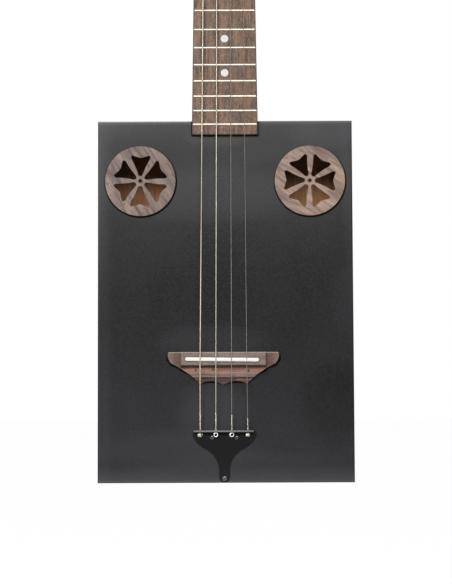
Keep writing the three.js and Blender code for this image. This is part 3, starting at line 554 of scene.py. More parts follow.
def makeWrap(name):
    look = wraps[name]
    finish = Finish(name, {"Metallic": 1})
    turns = finish.axis("Z") * (2 * math.pi / look["pitch"])
    ring = turns.maths("SINE", turns) * 0.5 + 0.5
    stain = finish.noise(wrapSurface["stain"])
    share = finish.between(stain * 0.7 + (1 - ring) * 0.3, 0.35, 0.85)
    colour = finish.mix(look["colour"], look["tarnish"], share)
    midBox = inZone(finish, "midBox") * inZone(finish, "shortOfBoard")
    colour = finish.mix(colour, wrapSurface["dull"], midBox * look["dulling"])
    colour = finish.mix(colour, wrapSurface["dull"], inZone(finish, "overBoard") * look["boardDulling"])
    normal = finish.bump(ring, look["pitch"] * wrapSurface["ringDepthShare"])
    finish.paint(colour=colour, roughness=0.3 + stain * 0.15, normal=normal)
    return finish.material


# Black japanned steel, with a painted highlight along the front edge of the flange, broken up in specks
tailBlack = {
    "dark": tint(12, 12, 12),
    "pale": tint(19, 19, 20),
    "edgeHighlight": tint(118, 116, 121),
    "specular": 0.14,
    "roughness": 0.34,
    "speck": (0.0006, 0.0006, 0.0006),
    "speckDepth": 0.00002,
    "cloud": (0.012, 0.012, 0.012),
    "edge": (0.0008, 0.0003),
}


def makeTailBlack():
    look = tailBlack
    finish = Finish("tailBlack", {"Specular IOR Level": look["specular"]})
    speck = finish.noise(look["speck"], detail=2)
    cloud = finish.noise(look["cloud"], detail=2)
    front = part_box("tailpiece")[0].y
    onEdge = finish.between(finish.axis("Y"), *[front + behind for behind in look["edge"]])
    marked = onEdge * finish.between(speck, 0.2, 0.5)
    finish.paint(
        colour=finish.mix(finish.mix(look["dark"], look["pale"], cloud), look["edgeHighlight"], marked),
        metallic=marked * 0.5,
        roughness=look["roughness"] + (cloud - 0.5) * 0.12,
        normal=finish.bump(speck, look["speckDepth"], 0.5),
    )
    return finish.material


bridgeMarks = {
    # the colour of each mark and its strength
    "wing": (tint(92, 69, 60), 0.75),
    "platform": (tint(136, 124, 116), 0.55),
    "fleck": (tint(104, 88, 80), 0.5),
    # painted shade on the wings beside the platform's step
    "joint": (tint(84, 60, 52), 0.55),
    "wingTip": (tint(146, 130, 122), 0.4),
    "paleGrain": (tint(198, 164, 148), 0.35),
    "darkGrain": (tint(84, 60, 52), 0.45),
    "pore": (tint(58, 38, 30), 0.8),
    # the painted highlight along the top edge
    "rimShading": (tint(200, 178, 164), 0.6),
    # how far from the bridge's middle each fades in
    "wingReach": (0.0361, 0.0362),
    "stepShadeReach": (0.0405, 0.036),
    "tipReach": (0.041, 0.045),
    # heights at which the platform and the ramp begin, and drops from the top to the painted highlight along
    # its edge
    "platformUp": (0.1005, 0.1007),
    "rampDown": (0.1006, 0.1003),
    "highlightDrop": (0.0008, 0.0004),
    "wave": (0.012, 0.012, 0.002),
    "waveHeight": 0.0012,
    "fleckSize": (0.0009, 0.0009, 0.0009),
    "fleckLevels": (0.52, 0.66),
    "grain": (0.014, 0.014, 0.0007),
    "paleLevels": (0.54, 0.68),
    "darkLevels": (0.46, 0.32),
    "soft": 0.0004,
    # bottom and top of each strip across the profile, its colour and its strength: from the bottom, painted
    # shade on the lower edge and on the bevel, a grey strip, a painted highlight on the ramp, and painted
    # shade in two steps into the cove under the platform
    "shadingStrips": [
        (0.0780, 0.0890, (tint(48, 34, 30), 0.75)),
        (0.0889, 0.0901, (tint(40, 30, 26), 0.75)),
        (0.0902, 0.0925, (tint(120, 108, 101), 0.5)),
        (0.0930, 0.0964, (tint(166, 128, 112), 0.55)),
        (0.0965, 0.0979, (tint(134, 84, 56), 0.65)),
        (0.0979, 0.1006, (tint(56, 39, 32), 0.85)),
    ],
    # each pore: across from the bridge's middle, and height
    "pores": [(-0.0236, 0.0963), (-0.0088, 0.0966), (0.0214, 0.0955)],
    "poreRadius": 0.0009,
    "poreTallShare": 0.7,
    "poreEdge": (1.6, 0.4),
}


# The platform and wings differ in grain; strips of painted shade and a painted highlight run across the
# profile below the platform, the wings get painted shade beside the platform's step, and the top edge a
# painted highlight
def markBridge(finish, colour):
    look, soft = bridgeMarks, bridgeMarks["soft"]
    height, top = finish.axis("Z"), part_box("bridge")[1].z
    up = height + (finish.noise(look["wave"], detail=2) - 0.5) * look["waveHeight"]
    overX = finish.axis("X") - middleX("bridge")
    aside = abs(overX)
    onWing = finish.between(aside, *look["wingReach"])
    onPlatform = (1 - onWing) * finish.between(height, *look["platformUp"])
    onRamp = (1 - onWing) * finish.between(height, *look["rampDown"])
    fleck = finish.between(finish.noise(look["fleckSize"], detail=1), *look["fleckLevels"])
    grain = finish.noise(look["grain"])
    paleGrain, darkGrain = (finish.between(grain, *look[name]) for name in ("paleLevels", "darkLevels"))
    colour = finish.stain(colour, look["wing"], onWing)
    colour = finish.stain(colour, look["platform"], onPlatform)
    colour = finish.stain(colour, look["fleck"], onPlatform * fleck)
    colour = finish.stain(colour, look["joint"], onWing * finish.between(aside, *look["stepShadeReach"]))
    colour = finish.stain(colour, look["wingTip"], finish.between(aside, *look["tipReach"]))
    # strips of painted shade and highlight across the profile
    for low, high, mark in look["shadingStrips"]:
        shadingBand = finish.between(up, low - soft, low + soft) * finish.between(up, high + soft, high - soft)
        colour = finish.stain(colour, mark, shadingBand * (1 - onWing))
    colour = finish.stain(colour, look["paleGrain"], paleGrain * onRamp)
    colour = finish.stain(colour, look["darkGrain"], darkGrain * (1 - onPlatform))
    poreEdge = [look["poreRadius"] ** 2 * share for share in look["poreEdge"]]
    for across, poreHeight in look["pores"]:
        besidePore, overPore = overX - across, (height - poreHeight) * look["poreTallShare"]
        near = besidePore * besidePore + overPore * overPore
        colour = finish.stain(colour, look["pore"], finish.between(near, *poreEdge))
    # A painted highlight along the top edge
    onRimShading = finish.between(height, *[top - drop for drop in look["highlightDrop"]])
    return finish.stain(colour, look["rimShading"], onRimShading)


# The fretboard, its dots and its frets
board = {
    "endWidth": 0.057,
    "nutWidth": 0.044,
    "cornerRadius": 0.0014,
    "rounding": 0.0004,
    "dotRadius": 0.0033,
    "dotProud": 0.0001,
    "dotFrets": [3, 5, 7, 9, 12, 15, 17],
    "pairFret": 12,
    "fretCount": 20,
    "crownWidth": 0.002,
    "crownRise": 0.001,
    "tangWidth": 0.0005,
    "tangDepth": 0.0015,
    "fretInset": 0.0007,
    # shares of the crown's rise: how far its ends slope in, and its rounding
    "endSlope": 0.45,
    "crownRounding": 0.86,
}
# Each cloud in the board's wood: size, shift, the levels it fades in between, colour and strength
boardClouds = [
    ((0.008, 0.008, 0.014), (0.003, 0, 0.004), (0.52, 0.66), (tint(84, 77, 75), 0.55)),
    ((0.006, 0.006, 0.03), (0.05, 0, 0.02), (0.54, 0.68), (tint(146, 108, 88), 0.5)),
    ((0.0007, 0.0007, 0.0012), (0, 0, 0), (0.54, 0.66), (tint(64, 52, 46), 0.5)),
    ((0.0006, 0.0006, 0.0018), (0.02, 0, 0.01), (0.56, 0.68), (tint(164, 138, 118), 0.4)),
]
# Painted shade along the board's edges, and the thin painted shadow beside the two wound strings
boardShade = {
    "edge": (tint(44, 34, 30), 0.8),
    "shadedEdgeReach": (-0.0011, -0.0002),
    "stringShadow": (tint(44, 34, 30), 0.4),
    # each string's place across at the board's end and at the nut, and half its shade's width
    "strings": [(-0.0187, -0.0138, 0.0011), (-0.0067, -0.0045, 0.0020)],
}


def markBoard(finish, colour):
    low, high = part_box("fretboard")
    run = (high.z - finish.axis("Z")) * (1 / (high.z - low.z))
    half = run * ((board["endWidth"] - board["nutWidth"]) / 2) + board["nutWidth"] / 2
    edge = finish.between(abs(finish.axis("X")) - half, *boardShade["shadedEdgeReach"])
    for size, shift, levels, mark in boardClouds:
        cloud = finish.noise(size, detail=1, shift=shift)
        colour = finish.stain(colour, mark, finish.between(cloud, *levels))
    for atEnd, atNut, wide in boardShade["strings"]:
        off = abs(finish.axis("X") - (run * (atEnd - atNut) + atNut))
        colour = finish.stain(colour, boardShade["stringShadow"], finish.between(off, wide, wide * 0.4))
    return finish.stain(colour, boardShade["edge"], edge)


# Painted shade: the wood inside the box is darker towards its top
insideShade = {"mark": (tint(30, 26, 24), 0.55), "heights": (0.25, 0.276)}


def shadeInside(finish, colour):
    return finish.stain(colour, insideShade["mark"], finish.between(finish.axis("Z"), *insideShade["heights"]))


discMarks = {
    # painted shade along the rim of each disc's face
    "rimShading": (tint(62, 44, 37), 0.75),
    "shadedRimWidth": 0.0005,
    "beyond": (0.002, 0.001),
    # dark spots: middle across and up, half width, half height, then colour and strength
    "spots": [
        ((-0.0850, 0.2862, 0.0085, 0.0115), (tint(92, 82, 84), 0.6)),
        ((-0.0919, 0.2450, 0.0080, 0.0110), (tint(104, 88, 82), 0.4)),
        ((0.0960, 0.2510, 0.0095, 0.0130), (tint(116, 98, 88), 0.6)),
    ],
}


# The rim of each disc's face, along its sawn edge, is painted darker as shade
def markDisc(finish, colour):
    look = discMarks
    for place, mark in look["spots"]:
        colour = finish.stain(colour, mark, finish.oval(*place))
    for node in discNodes.values():
        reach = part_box(node)[1].x - middleX(node)
        far = discSquare(finish, node)
        inner, outer = reach - look["shadedRimWidth"], reach - look["shadedRimWidth"] * 0.3
        onRimShading = finish.between(far, inner ** 2, outer ** 2)
        onDisc = finish.between(far, *[(reach + past) ** 2 for past in look["beyond"]])
        colour = finish.stain(colour, look["rimShading"], onRimShading * onDisc)
    return colour


marksOn = {
    "discWoodLeft": markDisc,
    "discWoodRight": markDisc,
    "bridgeWood": markBridge,
    "boardWood": markBoard,
    "bareWood": shadeInside,
    "shadedInnerWood": shadeInside,
}
finishes = {name: makeWood(name, marksOn.get(name)) for name in woods}
finishes.update({name: makeMetal(name) for name in metals})
finishes.update({name: makeWrap(name) for name in wraps})
for make in (makeSatinBlack, makeBone, makePearl, makeTailBlack, makeCream):
    material = make()
    finishes[material.name] = material
print("finishes ready:", len(finishes))


# A closed outline of straight and curved stretches, seen from the front
class Outline:
    def __init__(self, start):
        start = Vector(start)
        self.stops = [[start, start, start]]

    def line(self, end):
        end = Vector(end)
        self.stops.append([end, end, end])
        return self

    def curve(self, firstPull, lastPull, end):
        self.stops[-1][2] = Vector(firstPull)
        self.stops.append([Vector(lastPull), Vector(end), Vector(end)])
        return self

    def bend(self, pull, end):
        start, pull, end = self.stops[-1][1], Vector(pull), Vector(end)
        return self.curve(start.lerp(pull, 2 / 3), end.lerp(pull, 2 / 3), end)

    # A line, a bend or a curve: the places before the last one are its pulls
    def to(self, *places):
        return (self.line, self.bend, self.curve)[len(places) - 1](*places)

    def addTo(self, curve):
        stops = [list(stop) for stop in self.stops]
        if len(stops) > 2 and (stops[-1][1] - stops[0][1]).length < 1e-7:
            stops[0][0] = stops.pop()[0]
        spline = curve.splines.new("BEZIER")
        spline.bezier_points.add(len(stops) - 1)
        spline.use_cyclic_u = True
        for point, (pullIn, at, pullOut) in zip(spline.bezier_points, stops):
            point.handle_left_type = point.handle_right_type = "FREE"
            point.handle_left = pullIn.to_3d()
            point.co = at.to_3d()
            point.handle_right = pullOut.to_3d()


# An outline that goes along the left side of a middle line and comes back along the right side.
# Each stretch names its pulls and its end, and a pull on the middle line may join the two sides
def mirrored(places, start, stretches, middle=0, joints=(), turn=Matrix.Identity(2)):
    def at(side, name):
        x, z = places[name]
        return turn @ Vector((middle + side * x, z))

    outline = Outline(at(-1, start))
    for names in stretches:
        outline.to(*[at(-1, name) for name in names])
    ends = [start, *[names[-1] for names in stretches]]
    if joints:
        outline.bend(at(0, joints[0]), at(1, ends[-1]))
    for names, end in zip(reversed(stretches), reversed(ends[:-1])):
        outline.to(*[at(1, name) for name in reversed(names[:-1])], at(1, end))
    if joints:
        outline.bend(at(0, joints[1]), at(-1, start))
    return outline


# A quarter circle's pulls reach this share of the radius
arcPull = 4 / 3 * (math.sqrt(2) - 1)


def circleOutline(centre, radius):
    x, z = centre
    pull = radius * arcPull
    outline = Outline((x + radius, z))
    outline.curve((x + radius, z + pull), (x + pull, z + radius), (x, z + radius))
    outline.curve((x - pull, z + radius), (x - radius, z + pull), (x - radius, z))
    outline.curve((x - radius, z - pull), (x - pull, z - radius), (x, z - radius))
    outline.curve((x + pull, z - radius), (x + radius, z - pull), (x + radius, z))
    return outline


def shapeOfCurve(curve):
    holder = bpy.data.objects.new("curve", curve)
    scene.collection.objects.link(holder)
    graph = bpy.context.evaluated_depsgraph_get()
    mesh = bpy.data.meshes.new_from_object(holder.evaluated_get(graph))
    shape = bmesh.new()
    shape.from_mesh(mesh)
    bpy.data.objects.remove(holder)
    bpy.data.curves.remove(curve)
    bpy.data.meshes.remove(mesh)
    bmesh.ops.remove_doubles(shape, verts=shape.verts, dist=1e-6)
    bmesh.ops.recalc_face_normals(shape, faces=shape.faces)
    return shape


# A plate with this front outline: its back on y 0, its front at -thickness, its rims rounded
def plateFrom(outlines, thickness, rounding=0.0, steps=8, roundingSteps=2):
    curve = bpy.data.curves.new("outline", "CURVE")
    curve.dimensions = "2D"
    curve.fill_mode = "BOTH"
    curve.resolution_u = steps
    curve.extrude = thickness / 2 - rounding
    curve.bevel_depth = rounding
    curve.bevel_resolution = roundingSteps
    curve.offset = -rounding
    for outline in outlines:
        outline.addTo(curve)
    shape = shapeOfCurve(curve)
    move(shape, Matrix.Translation((0, -thickness / 2, 0)) @ Matrix.Rotation(math.pi / 2, 4, "X"))
    return shape


def move(shape, matrix):
    bmesh.ops.transform(shape, matrix=matrix, verts=shape.verts)
    return shape


def shift(shape, x, y, z):
    return move(shape, Matrix.Translation((x, y, z)))


def turnAbout(shape, axis, degrees):
    return move(shape, Matrix.Rotation(math.radians(degrees), 4, axis))


def blockBetween(low, high):
    shape = bmesh.new()
    bmesh.ops.create_cube(shape, size=1)
    low, high = Vector(low), Vector(high)
    bmesh.ops.scale(shape, vec=high - low, verts=shape.verts)
    bmesh.ops.translate(shape, vec=(low + high) / 2, verts=shape.verts)
    return shape


def roundEdges(shape, edges, radius, segments=2):
    bmesh.ops.bevel(
        shape,
        geom=list(edges),
        offset=radius,
        segments=segments,
        profile=0.5,
        affect="EDGES",
        material=-1,
        clamp_overlap=True,
    )
    return shape


def sharpEdges(shape, degrees=35):
    limit = math.radians(degrees)
    return [edge for edge in shape.edges if edge.is_manifold and edge.calc_face_angle(0) > limit]


def roundSharp(shape, radius, segments=2, degrees=35):
    return roundEdges(shape, sharpEdges(shape, degrees), radius, segments)


# A rod along Z with its middle at the origin
def rod(radius, length, sides):
    shape = bmesh.new()
    bmesh.ops.create_cone(
        shape, cap_ends=True, segments=sides, radius1=radius, radius2=radius, depth=length
    )
    return shape


# A profile of (radius, height) points turned about Z
def turned(profile, steps=48):
    shape = bmesh.new()
    points = [shape.verts.new((radius, 0, height)) for radius, height in profile]
    lines = [shape.edges.new(pair) for pair in zip(points, points[1:])]
    bmesh.ops.spin(
        shape,
        geom=points + lines,
        cent=(0, 0, 0),
        axis=(0, 0, 1),
        angle=2 * math.pi,
        steps=steps,
        use_merge=True,
    )
    bmesh.ops.remove_doubles(shape, verts=shape.verts, dist=1e-7)
    bmesh.ops.recalc_face_normals(shape, faces=shape.faces)
    return shape


def meshOf(shape, name="shape"):
    mesh = bpy.data.meshes.new(name)
    shape.to_mesh(mesh)
    shape.free()
    return mesh


def together(*shapes):
    whole = bmesh.new()
    for shape in shapes:
        mesh = meshOf(shape)
        whole.from_mesh(mesh)
        bpy.data.meshes.remove(mesh)
    return whole


# Cuts, joins or overlaps solids with Blender's exact Boolean
def carve(shape, cutters, operation="DIFFERENCE"):
    holders = []
    for part in [shape, *cutters]:
        holder = bpy.data.objects.new("part", meshOf(part))
        scene.collection.objects.link(holder)
        holders.append(holder)
    for cutter in holders[1:]:
        modifier = holders[0].modifiers.new("cut", "BOOLEAN")
        modifier.operation = operation
        modifier.solver = "EXACT"
        modifier.object = cutter
    evaluated = holders[0].evaluated_get(bpy.context.evaluated_depsgraph_get())
    result = bmesh.new()
    result.from_mesh(evaluated.to_mesh())
    evaluated.to_mesh_clear()
    for holder in holders:
        mesh = holder.data
        bpy.data.objects.remove(holder)
        bpy.data.meshes.remove(mesh)
    bmesh.ops.remove_doubles(result, verts=result.verts, dist=1e-7)
    bmesh.ops.dissolve_degenerate(result, edges=result.edges, dist=1e-7)
    return result


# A merged copy of a CAD node, with its flat faces made whole again
def copyOf(node):
    shape = bmesh.new()
    shape.from_mesh(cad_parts[node].data)
    bmesh.ops.remove_doubles(shape, verts=shape.verts, dist=1e-6)
    bmesh.ops.dissolve_limit(
        shape, angle_limit=math.radians(0.5), verts=shape.verts, edges=shape.edges
    )
    return shape


# A finished piece: it stands for its CAD nodes and rides on their body
def addPiece(name, shape, finish, nodes, body="root", smooth=35, second=None, isSecond=None):
    mesh = meshOf(shape, name)
    mesh.materials.append(finishes[finish])
    if second:
        mesh.materials.append(finishes[second])
        for face in mesh.polygons:
            face.material_index = 1 if isSecond(face) else 0
    mesh.shade_smooth()
    mesh.set_sharp_from_angle(angle=math.radians(smooth))
    piece = bpy.data.objects.new(name, mesh)
    scene.collection.objects.link(piece)
    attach(piece, body)
    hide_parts(*nodes)


def paintNode(node, finish):
    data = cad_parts[node].data
    data.materials.clear()
    data.materials.append(finishes[finish])


# The box
box = {
    "rimRadius": 0.0012,
    "seamRadius": 0.00025,
    "holeRadius": 0.025,
    "holeSides": 96,
    "drillLength": 0.02,
}
lidLow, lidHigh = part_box("top_plate")
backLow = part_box("back_plate")[0]
faceY = lidLow.y
roomLow = Vector((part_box("side_left")[1].x, lidHigh.y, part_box("end_bottom")[1].z))
roomHigh = Vector((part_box("side_right")[0].x, backLow.y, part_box("end_top")[0].z))
touch = 0.00001
discCentres = {side: (middleX(node), middleZ(node)) for side, node in discNodes.items()}


# Faces that look into the box are bare wood; on all but the back it is painted darker as shade
def facesRoom(face):
    return all(low - touch <= at <= high + touch for low, at, high in zip(roomLow, face.center, roomHigh))


# A plate whose outer rim is well rounded and whose inner one only a little
def panel(node, outwardY):
    low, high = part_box(node)
    shape = blockBetween(low, high)
    outer, inner = (low.y, high.y) if outwardY < 0 else (high.y, low.y)
    for y, radius, segments in ((outer, box["rimRadius"], 4), (inner, box["seamRadius"], 1)):
        around = [edge for edge in shape.edges if all(abs(v.co.y - y) < touch for v in edge.verts)]
        roundEdges(shape, around, radius, segments)
    return shape


def holeDrill(x, z):
    shape = turnAbout(rod(box["holeRadius"], box["drillLength"], box["holeSides"]), "X", 90)
    return shift(shape, x, faceY, z)


def makeBox():
    lid = carve(panel("top_plate", -1), [holeDrill(*centre) for centre in discCentres.values()])
    plates = {
        "box_lid": (lid, "top_plate", "shadedInnerWood"),
        "box_back": (panel("back_plate", 1), "back_plate", "bareWood"),
    }
    for node in ("side_left", "side_right", "end_top", "end_bottom"):
        plates["box_" + node] = (roundSharp(copyOf(node), box["seamRadius"], 1), node, "shadedInnerWood")
    for name, (shape, node, inside) in plates.items():
        addPiece(
            name, shape, "satinBlack", [node], smooth=25, second=inside, isSecond=facesRoom
        )
    for node in ("tail_block", "bridge_plate", "back_brace_lower", "back_brace_upper"):
        paintNode(node, "bareWood")
    paintNode("neck_bar", "barSteel")


makeBox()
print("box ready")


# The discs over the sound holes
disc = {
    "rounding": 0.00025,
    "petals": 6,
    "pinhole": 0.0016,
    "turnDegrees": {"left": -1.2, "right": 28.6},
}
# A petal's right half from its tip by the hub: across and out from the disc's middle
petalPlaces = {
    "tipPull": (0, 0.0034),
    "tip": (0.00175, 0.0053),
    "flankPull": (0.00414, 0.01255),
    "flank": (0.008, 0.0192),
    "cheekPull": (0.0084, 0.0201),
    "cheek": (0.0082, 0.021),
    "lobePull": (0.0079, 0.0224),
    "lobe": (0.0064, 0.0219),
    "notch": (0.0017, 0.0205),
    "notchPull": (0, 0.01995),
}
petalStretches = [("flankPull", "flank"), ("cheekPull", "cheek"), ("lobePull", "lobe"), ("notch",)]


def petalOutline(turnDegrees):
    turn = Matrix.Rotation(math.radians(turnDegrees), 2)
    return mirrored(petalPlaces, "tip", petalStretches, joints=("notchPull", "tipPull"), turn=turn)


# The sawn side faces of the discs are painted dark as shade
def facesAside(face):
    return abs(face.normal.y) < 0.5


def makeDisc(side):
    node = discNodes[side]
    low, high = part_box(node)
    outlines = [circleOutline((0, 0), (high.z - low.z) / 2), circleOutline((0, 0), disc["pinhole"])]
    for i in range(disc["petals"]):
        outlines.append(petalOutline(disc["turnDegrees"][side] + i * 360 / disc["petals"]))
    shape = plateFrom(outlines, high.y - low.y, disc["rounding"], 12)
    x, z = discCentres[side]
    shift(shape, x, high.y, z)
    wood = "discWood" + side.capitalize()
    addPiece(
        "disc_" + side, shape, wood, [node], smooth=40, second="shadedDiscEdge", isSecond=facesAside
    )


for side in discCentres:
    makeDisc(side)
print("discs ready")


# The bridge: its front outline, cut to height by a side profile and by the two wings
bridge = {
    "reach": 0.048,
    "platformWidth": 0.0722,
    "platformRise": 0.008,
    "rampRise": 0.0052,
    "wingRise": 0.0046,
    "wingEndRise": 0.0034,
    "edgeRise": 0.0022,
    "edgeSlope": 1.2,
    "rampFootShare": 0.75,
    "stepSlope": 1.02,
    "rounding": 0.0006,
    "spare": 0.001,
}
bridgeLow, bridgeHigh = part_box("bridge")
bridgeMiddle = middleX("bridge")
# The front outline from the top down: shares of the reach aside, and of the height
bridgeShares = {
    "corner": (0.98, 1),
    "bulge": (1.02, 0.84),
    "shoulder": (0.93, 0.66),
    "waist": (0.77, 0.51),
    "hollow": (0.6, 0.32),
    "tip": (0.42, 0.03),
    "arch": (0.22, 0.215),
    "foot": (0, 0),
}
bridgeStretches = [("bulge", "shoulder"), ("waist",), ("hollow",), ("tip",), ("arch", "foot")]
# Where the side profile turns, from the foot up, as shares of the bridge's height
bridgeTurns = {
    "below": -0.1,
    "edge": 0.205,
    "rampPull": 0.21,
    "ramp": 0.235,
    "step": 0.49,
    "stepPull": 0.56,
    "platformPull": 0.565,
    "platform": 0.605,
    "above": 1.1,
}


def bridgeOutline():
    low, tall = bridgeLow.z, bridgeHigh.z - bridgeLow.z
    places = {name: (bridge["reach"] * x, low + tall * up) for name, (x, up) in bridgeShares.items()}
    return mirrored(places, "corner", bridgeStretches, bridgeMiddle)


# Drawn as rise against height, then swung round so that it runs across the strings
def bridgeProfile():
    tall, spare = bridgeHigh.z - bridgeLow.z, bridge["spare"]
    edge, ramp, platform = bridge["edgeRise"], bridge["rampRise"], bridge["platformRise"]

    def at(rise, name):
        return (-rise, bridgeLow.z + tall * bridgeTurns[name])

    rampFoot = edge + (ramp - edge) * bridge["rampFootShare"]
    outline = Outline(at(-spare, "below"))
    outline.line(at(edge, "below"))
    outline.line(at(edge * bridge["edgeSlope"], "edge"))
    outline.bend(at(rampFoot, "rampPull"), at(rampFoot, "ramp"))
    outline.line(at(ramp, "step"))
    stepPull = at(ramp * bridge["stepSlope"], "stepPull")
    outline.curve(stepPull, at(platform, "platformPull"), at(platform, "platform"))
    outline.line(at(platform, "above"))
    outline.line(at(-spare, "above"))
    reach = bridgeHigh.x - bridgeLow.x + 2 * spare
    shape = plateFrom([outline], reach, 0, 10)
    turnAbout(shape, "Z", 90)
    return shift(shape, bridgeLow.x - spare, faceY, 0)


def bridgeWing(side):
    inner = side * bridge["platformWidth"] / 2
    outer = side * (bridge["reach"] + bridge["spare"])
    high = bridge["platformRise"] + bridge["spare"]
    outline = Outline((inner, bridge["wingRise"]))
    outline.line((outer, bridge["wingEndRise"]))
    outline.line((outer, high))
    outline.line((inner, high))
    tall = bridgeHigh.z - bridgeLow.z + 2 * bridge["spare"]
    shape = plateFrom([outline], tall, 0, 2)
    turnAbout(shape, "X", 90)
    return shift(shape, bridgeMiddle, faceY, bridgeLow.z - bridge["spare"] + tall)


# The saddle: a bar with round ends and a rounded top, a little aslant
saddle = {
    "length": 0.0634,
    "thickness": 0.0035,
    "slantDegrees": 0.7,
    "crown": 0.0011,
    "fit": 0.00025,
    "slotDepth": 0.003,
    "cutterThickness": 0.004,
}
saddleLow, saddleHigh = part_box("saddle")
saddleX, saddleZ = middleX("saddle"), middleZ("saddle")


def barOutline(length, thickness):
    half = length / 2 - thickness / 2
    radius = thickness / 2
    pull = radius * arcPull
    outline = Outline((half, -radius))
    outline.curve((half + pull, -radius), (half + radius, -pull), (half + radius, 0))
    outline.curve((half + radius, pull), (half + pull, radius), (half, radius))
    outline.line((-half, radius))
    outline.curve((-half - pull, radius), (-half - radius, pull), (-half - radius, 0))
    outline.curve((-half - radius, -pull), (-half - pull, -radius), (-half, -radius))
    return outline


def saddleBar(grow, thickness, rounding):
    outline = barOutline(saddle["length"] + 2 * grow, saddle["thickness"] + 2 * grow)
    shape = plateFrom([outline], thickness, rounding, 8, 4)
    turnAbout(shape, "Y", saddle["slantDegrees"])
    return shape


def makeBridge():
    thick = bridge["platformRise"]
    blank = shift(plateFrom([bridgeOutline()], thick, 0, 10), 0, faceY, 0)
    shape = carve(blank, [bridgeProfile()], "INTERSECT")
    slot = saddleBar(saddle["fit"], saddle["cutterThickness"], 0)
    shift(slot, saddleX, faceY - thick + saddle["slotDepth"], saddleZ)
    shape = carve(shape, [bridgeWing(-1), bridgeWing(1), slot])
    roundSharp(shape, bridge["rounding"], 2, 30)
    addPiece("bridge_block", shape, "bridgeWood", ["bridge"], smooth=40)
    bar = saddleBar(0, saddleHigh.y - saddleLow.y, saddle["crown"])
    shift(bar, saddleX, saddleHigh.y, saddleZ)
    addPiece("saddle_bar", bar, "boneWhite", ["saddle"], smooth=50)


makeBridge()
print("bridge ready")


# The tailpiece: a flat plate with a flange turned up under the strings
tail = {
    "width": 0.0542,
    "stemWidth": 0.0089,
    "thickness": 0.0014,
    "flangeWidth": 0.0512,
    "flangeShift": -0.0006,
    "flangeThickness": 0.0013,
    "flangeRise": 0.0082,
    "holeRise": 0.0045,
    "holeRadius": 0.0015,
    "drillLength": 0.01,
    "rounding": 0.0003,
    "flangeRounding": 0.0002,
    "bendRadius": 0.0012,
    # radius and length of each shank, and how far the cross of each screw is turned
    "smallRadius": 0.0021,
    "smallRise": 0.0009,
    "smallShank": (0.0009, 0.003),
    "smallTurn": 30,
    "smallReach": 0.0104,
    "smallZ": 0.0385,
    "crownShare": 0.72,
    "screwShank": (0.0013, 0.018),
    "screwTurn": 25,
    # heights of the stem as shares of the plate's
    "stemPull": 0.42,
    "stemTop": 0.22,
}
tailLow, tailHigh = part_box("tailpiece")
tailMiddle = middleX("tailpiece")
# Shares of half the plate's width, and of its height
tailShares = {
    "cheek": (1, 0.94),
    "cheekPull": (0.98, 0.8),
    "shoulderPull": (0.8, 0.705),
    "shoulder": (0.59, 0.64),
    "neckPull": (0.36, 0.565),
}
tailStretches = [
    ("cheek",),
    ("cheekPull", "shoulderPull", "shoulder"),
    ("neckPull", "stemPull", "stemTop"),
    ("stemFoot",),
    ("sidePull", "footPull", "foot"),
]


def tailOutline():
    half, stem = tail["width"] / 2, tail["stemWidth"] / 2
    low, tall = tailLow.z, tailHigh.z - tailLow.z
    pull = stem * arcPull
    places = {name: (half * across, low + tall * up) for name, (across, up) in tailShares.items()}
    places["top"] = (half, tailHigh.z - tail["flangeThickness"] / 2)
    places["stemPull"] = (stem, low + tall * tail["stemPull"])
    places["stemTop"] = (stem, low + tall * tail["stemTop"])
    places["stemFoot"] = (stem, low + stem)
    places["sidePull"] = (stem, low + stem - pull)
    places["footPull"] = (pull, low)
    places["foot"] = (0, low)
    return mirrored(places, "top", tailStretches)


# Drawn as rise against height and swung round, with the bend's radius outside and in
def tailFlange():
    thick, rise = tail["flangeThickness"], tail["flangeRise"]
    plate, bend = tail["thickness"], tail["bendRadius"]
    top = tailHigh.z
    outline = Outline((0, top - 3 * thick))
    outline.line((-plate, top - 3 * thick))
    outline.line((-plate, top - thick - bend / 2))
    outline.bend((-plate, top - thick), (-plate - bend / 2, top - thick))
    outline.line((-rise, top - thick))
    outline.line((-rise, top))
    outline.line((-bend, top))
    outline.bend((0, top), (0, top - bend))
    shape = plateFrom([outline], tail["flangeWidth"], 0, 4)
    turnAbout(shape, "Z", 90)
    return shift(shape, tailMiddle + tail["flangeShift"] - tail["flangeWidth"] / 2, faceY, 0)


crossHead = {
    # the head's profile as shares of its radius and of its rise
    "profile": [(1, 0), (1, 0.15), (0.92, 0.5), (0.75, 0.8), (0.55, 0.95), (0, 1)],
    "pointShare": 0.4,
    "slotReach": 0.6,
    "slotHalf": 0.13,
    "slotFloor": 0.35,
}


# A cross-slotted head that stands on z 0
def screwHead(radius, rise, shank, shankLength):
    profile = [(0, -shankLength), (shank * crossHead["pointShare"], -shankLength)]
    profile += [(shank, -shankLength + 2 * shank), (shank, 0)]
    profile += [(radius * out, rise * up) for out, up in crossHead["profile"]]
    wide, narrow = radius * crossHead["slotReach"], radius * crossHead["slotHalf"]
    floor = rise * crossHead["slotFloor"]
    across = blockBetween((-wide, -narrow, floor), (wide, narrow, rise * 2))
    along = blockBetween((-narrow, -wide, floor), (narrow, wide, rise * 2))
    return carve(turned(profile, 32), [across, along])


def stringHole(x):
    shape = rod(tail["holeRadius"], tail["drillLength"], 24)
    return shift(shape, x, faceY - tail["holeRise"], tailHigh.z)


# The crowns of the two small screws are a paler metal: a painted glint
def onCrown(face):
    return face.center.y < faceY - tail["thickness"] - tail["smallRise"] * tail["crownShare"]


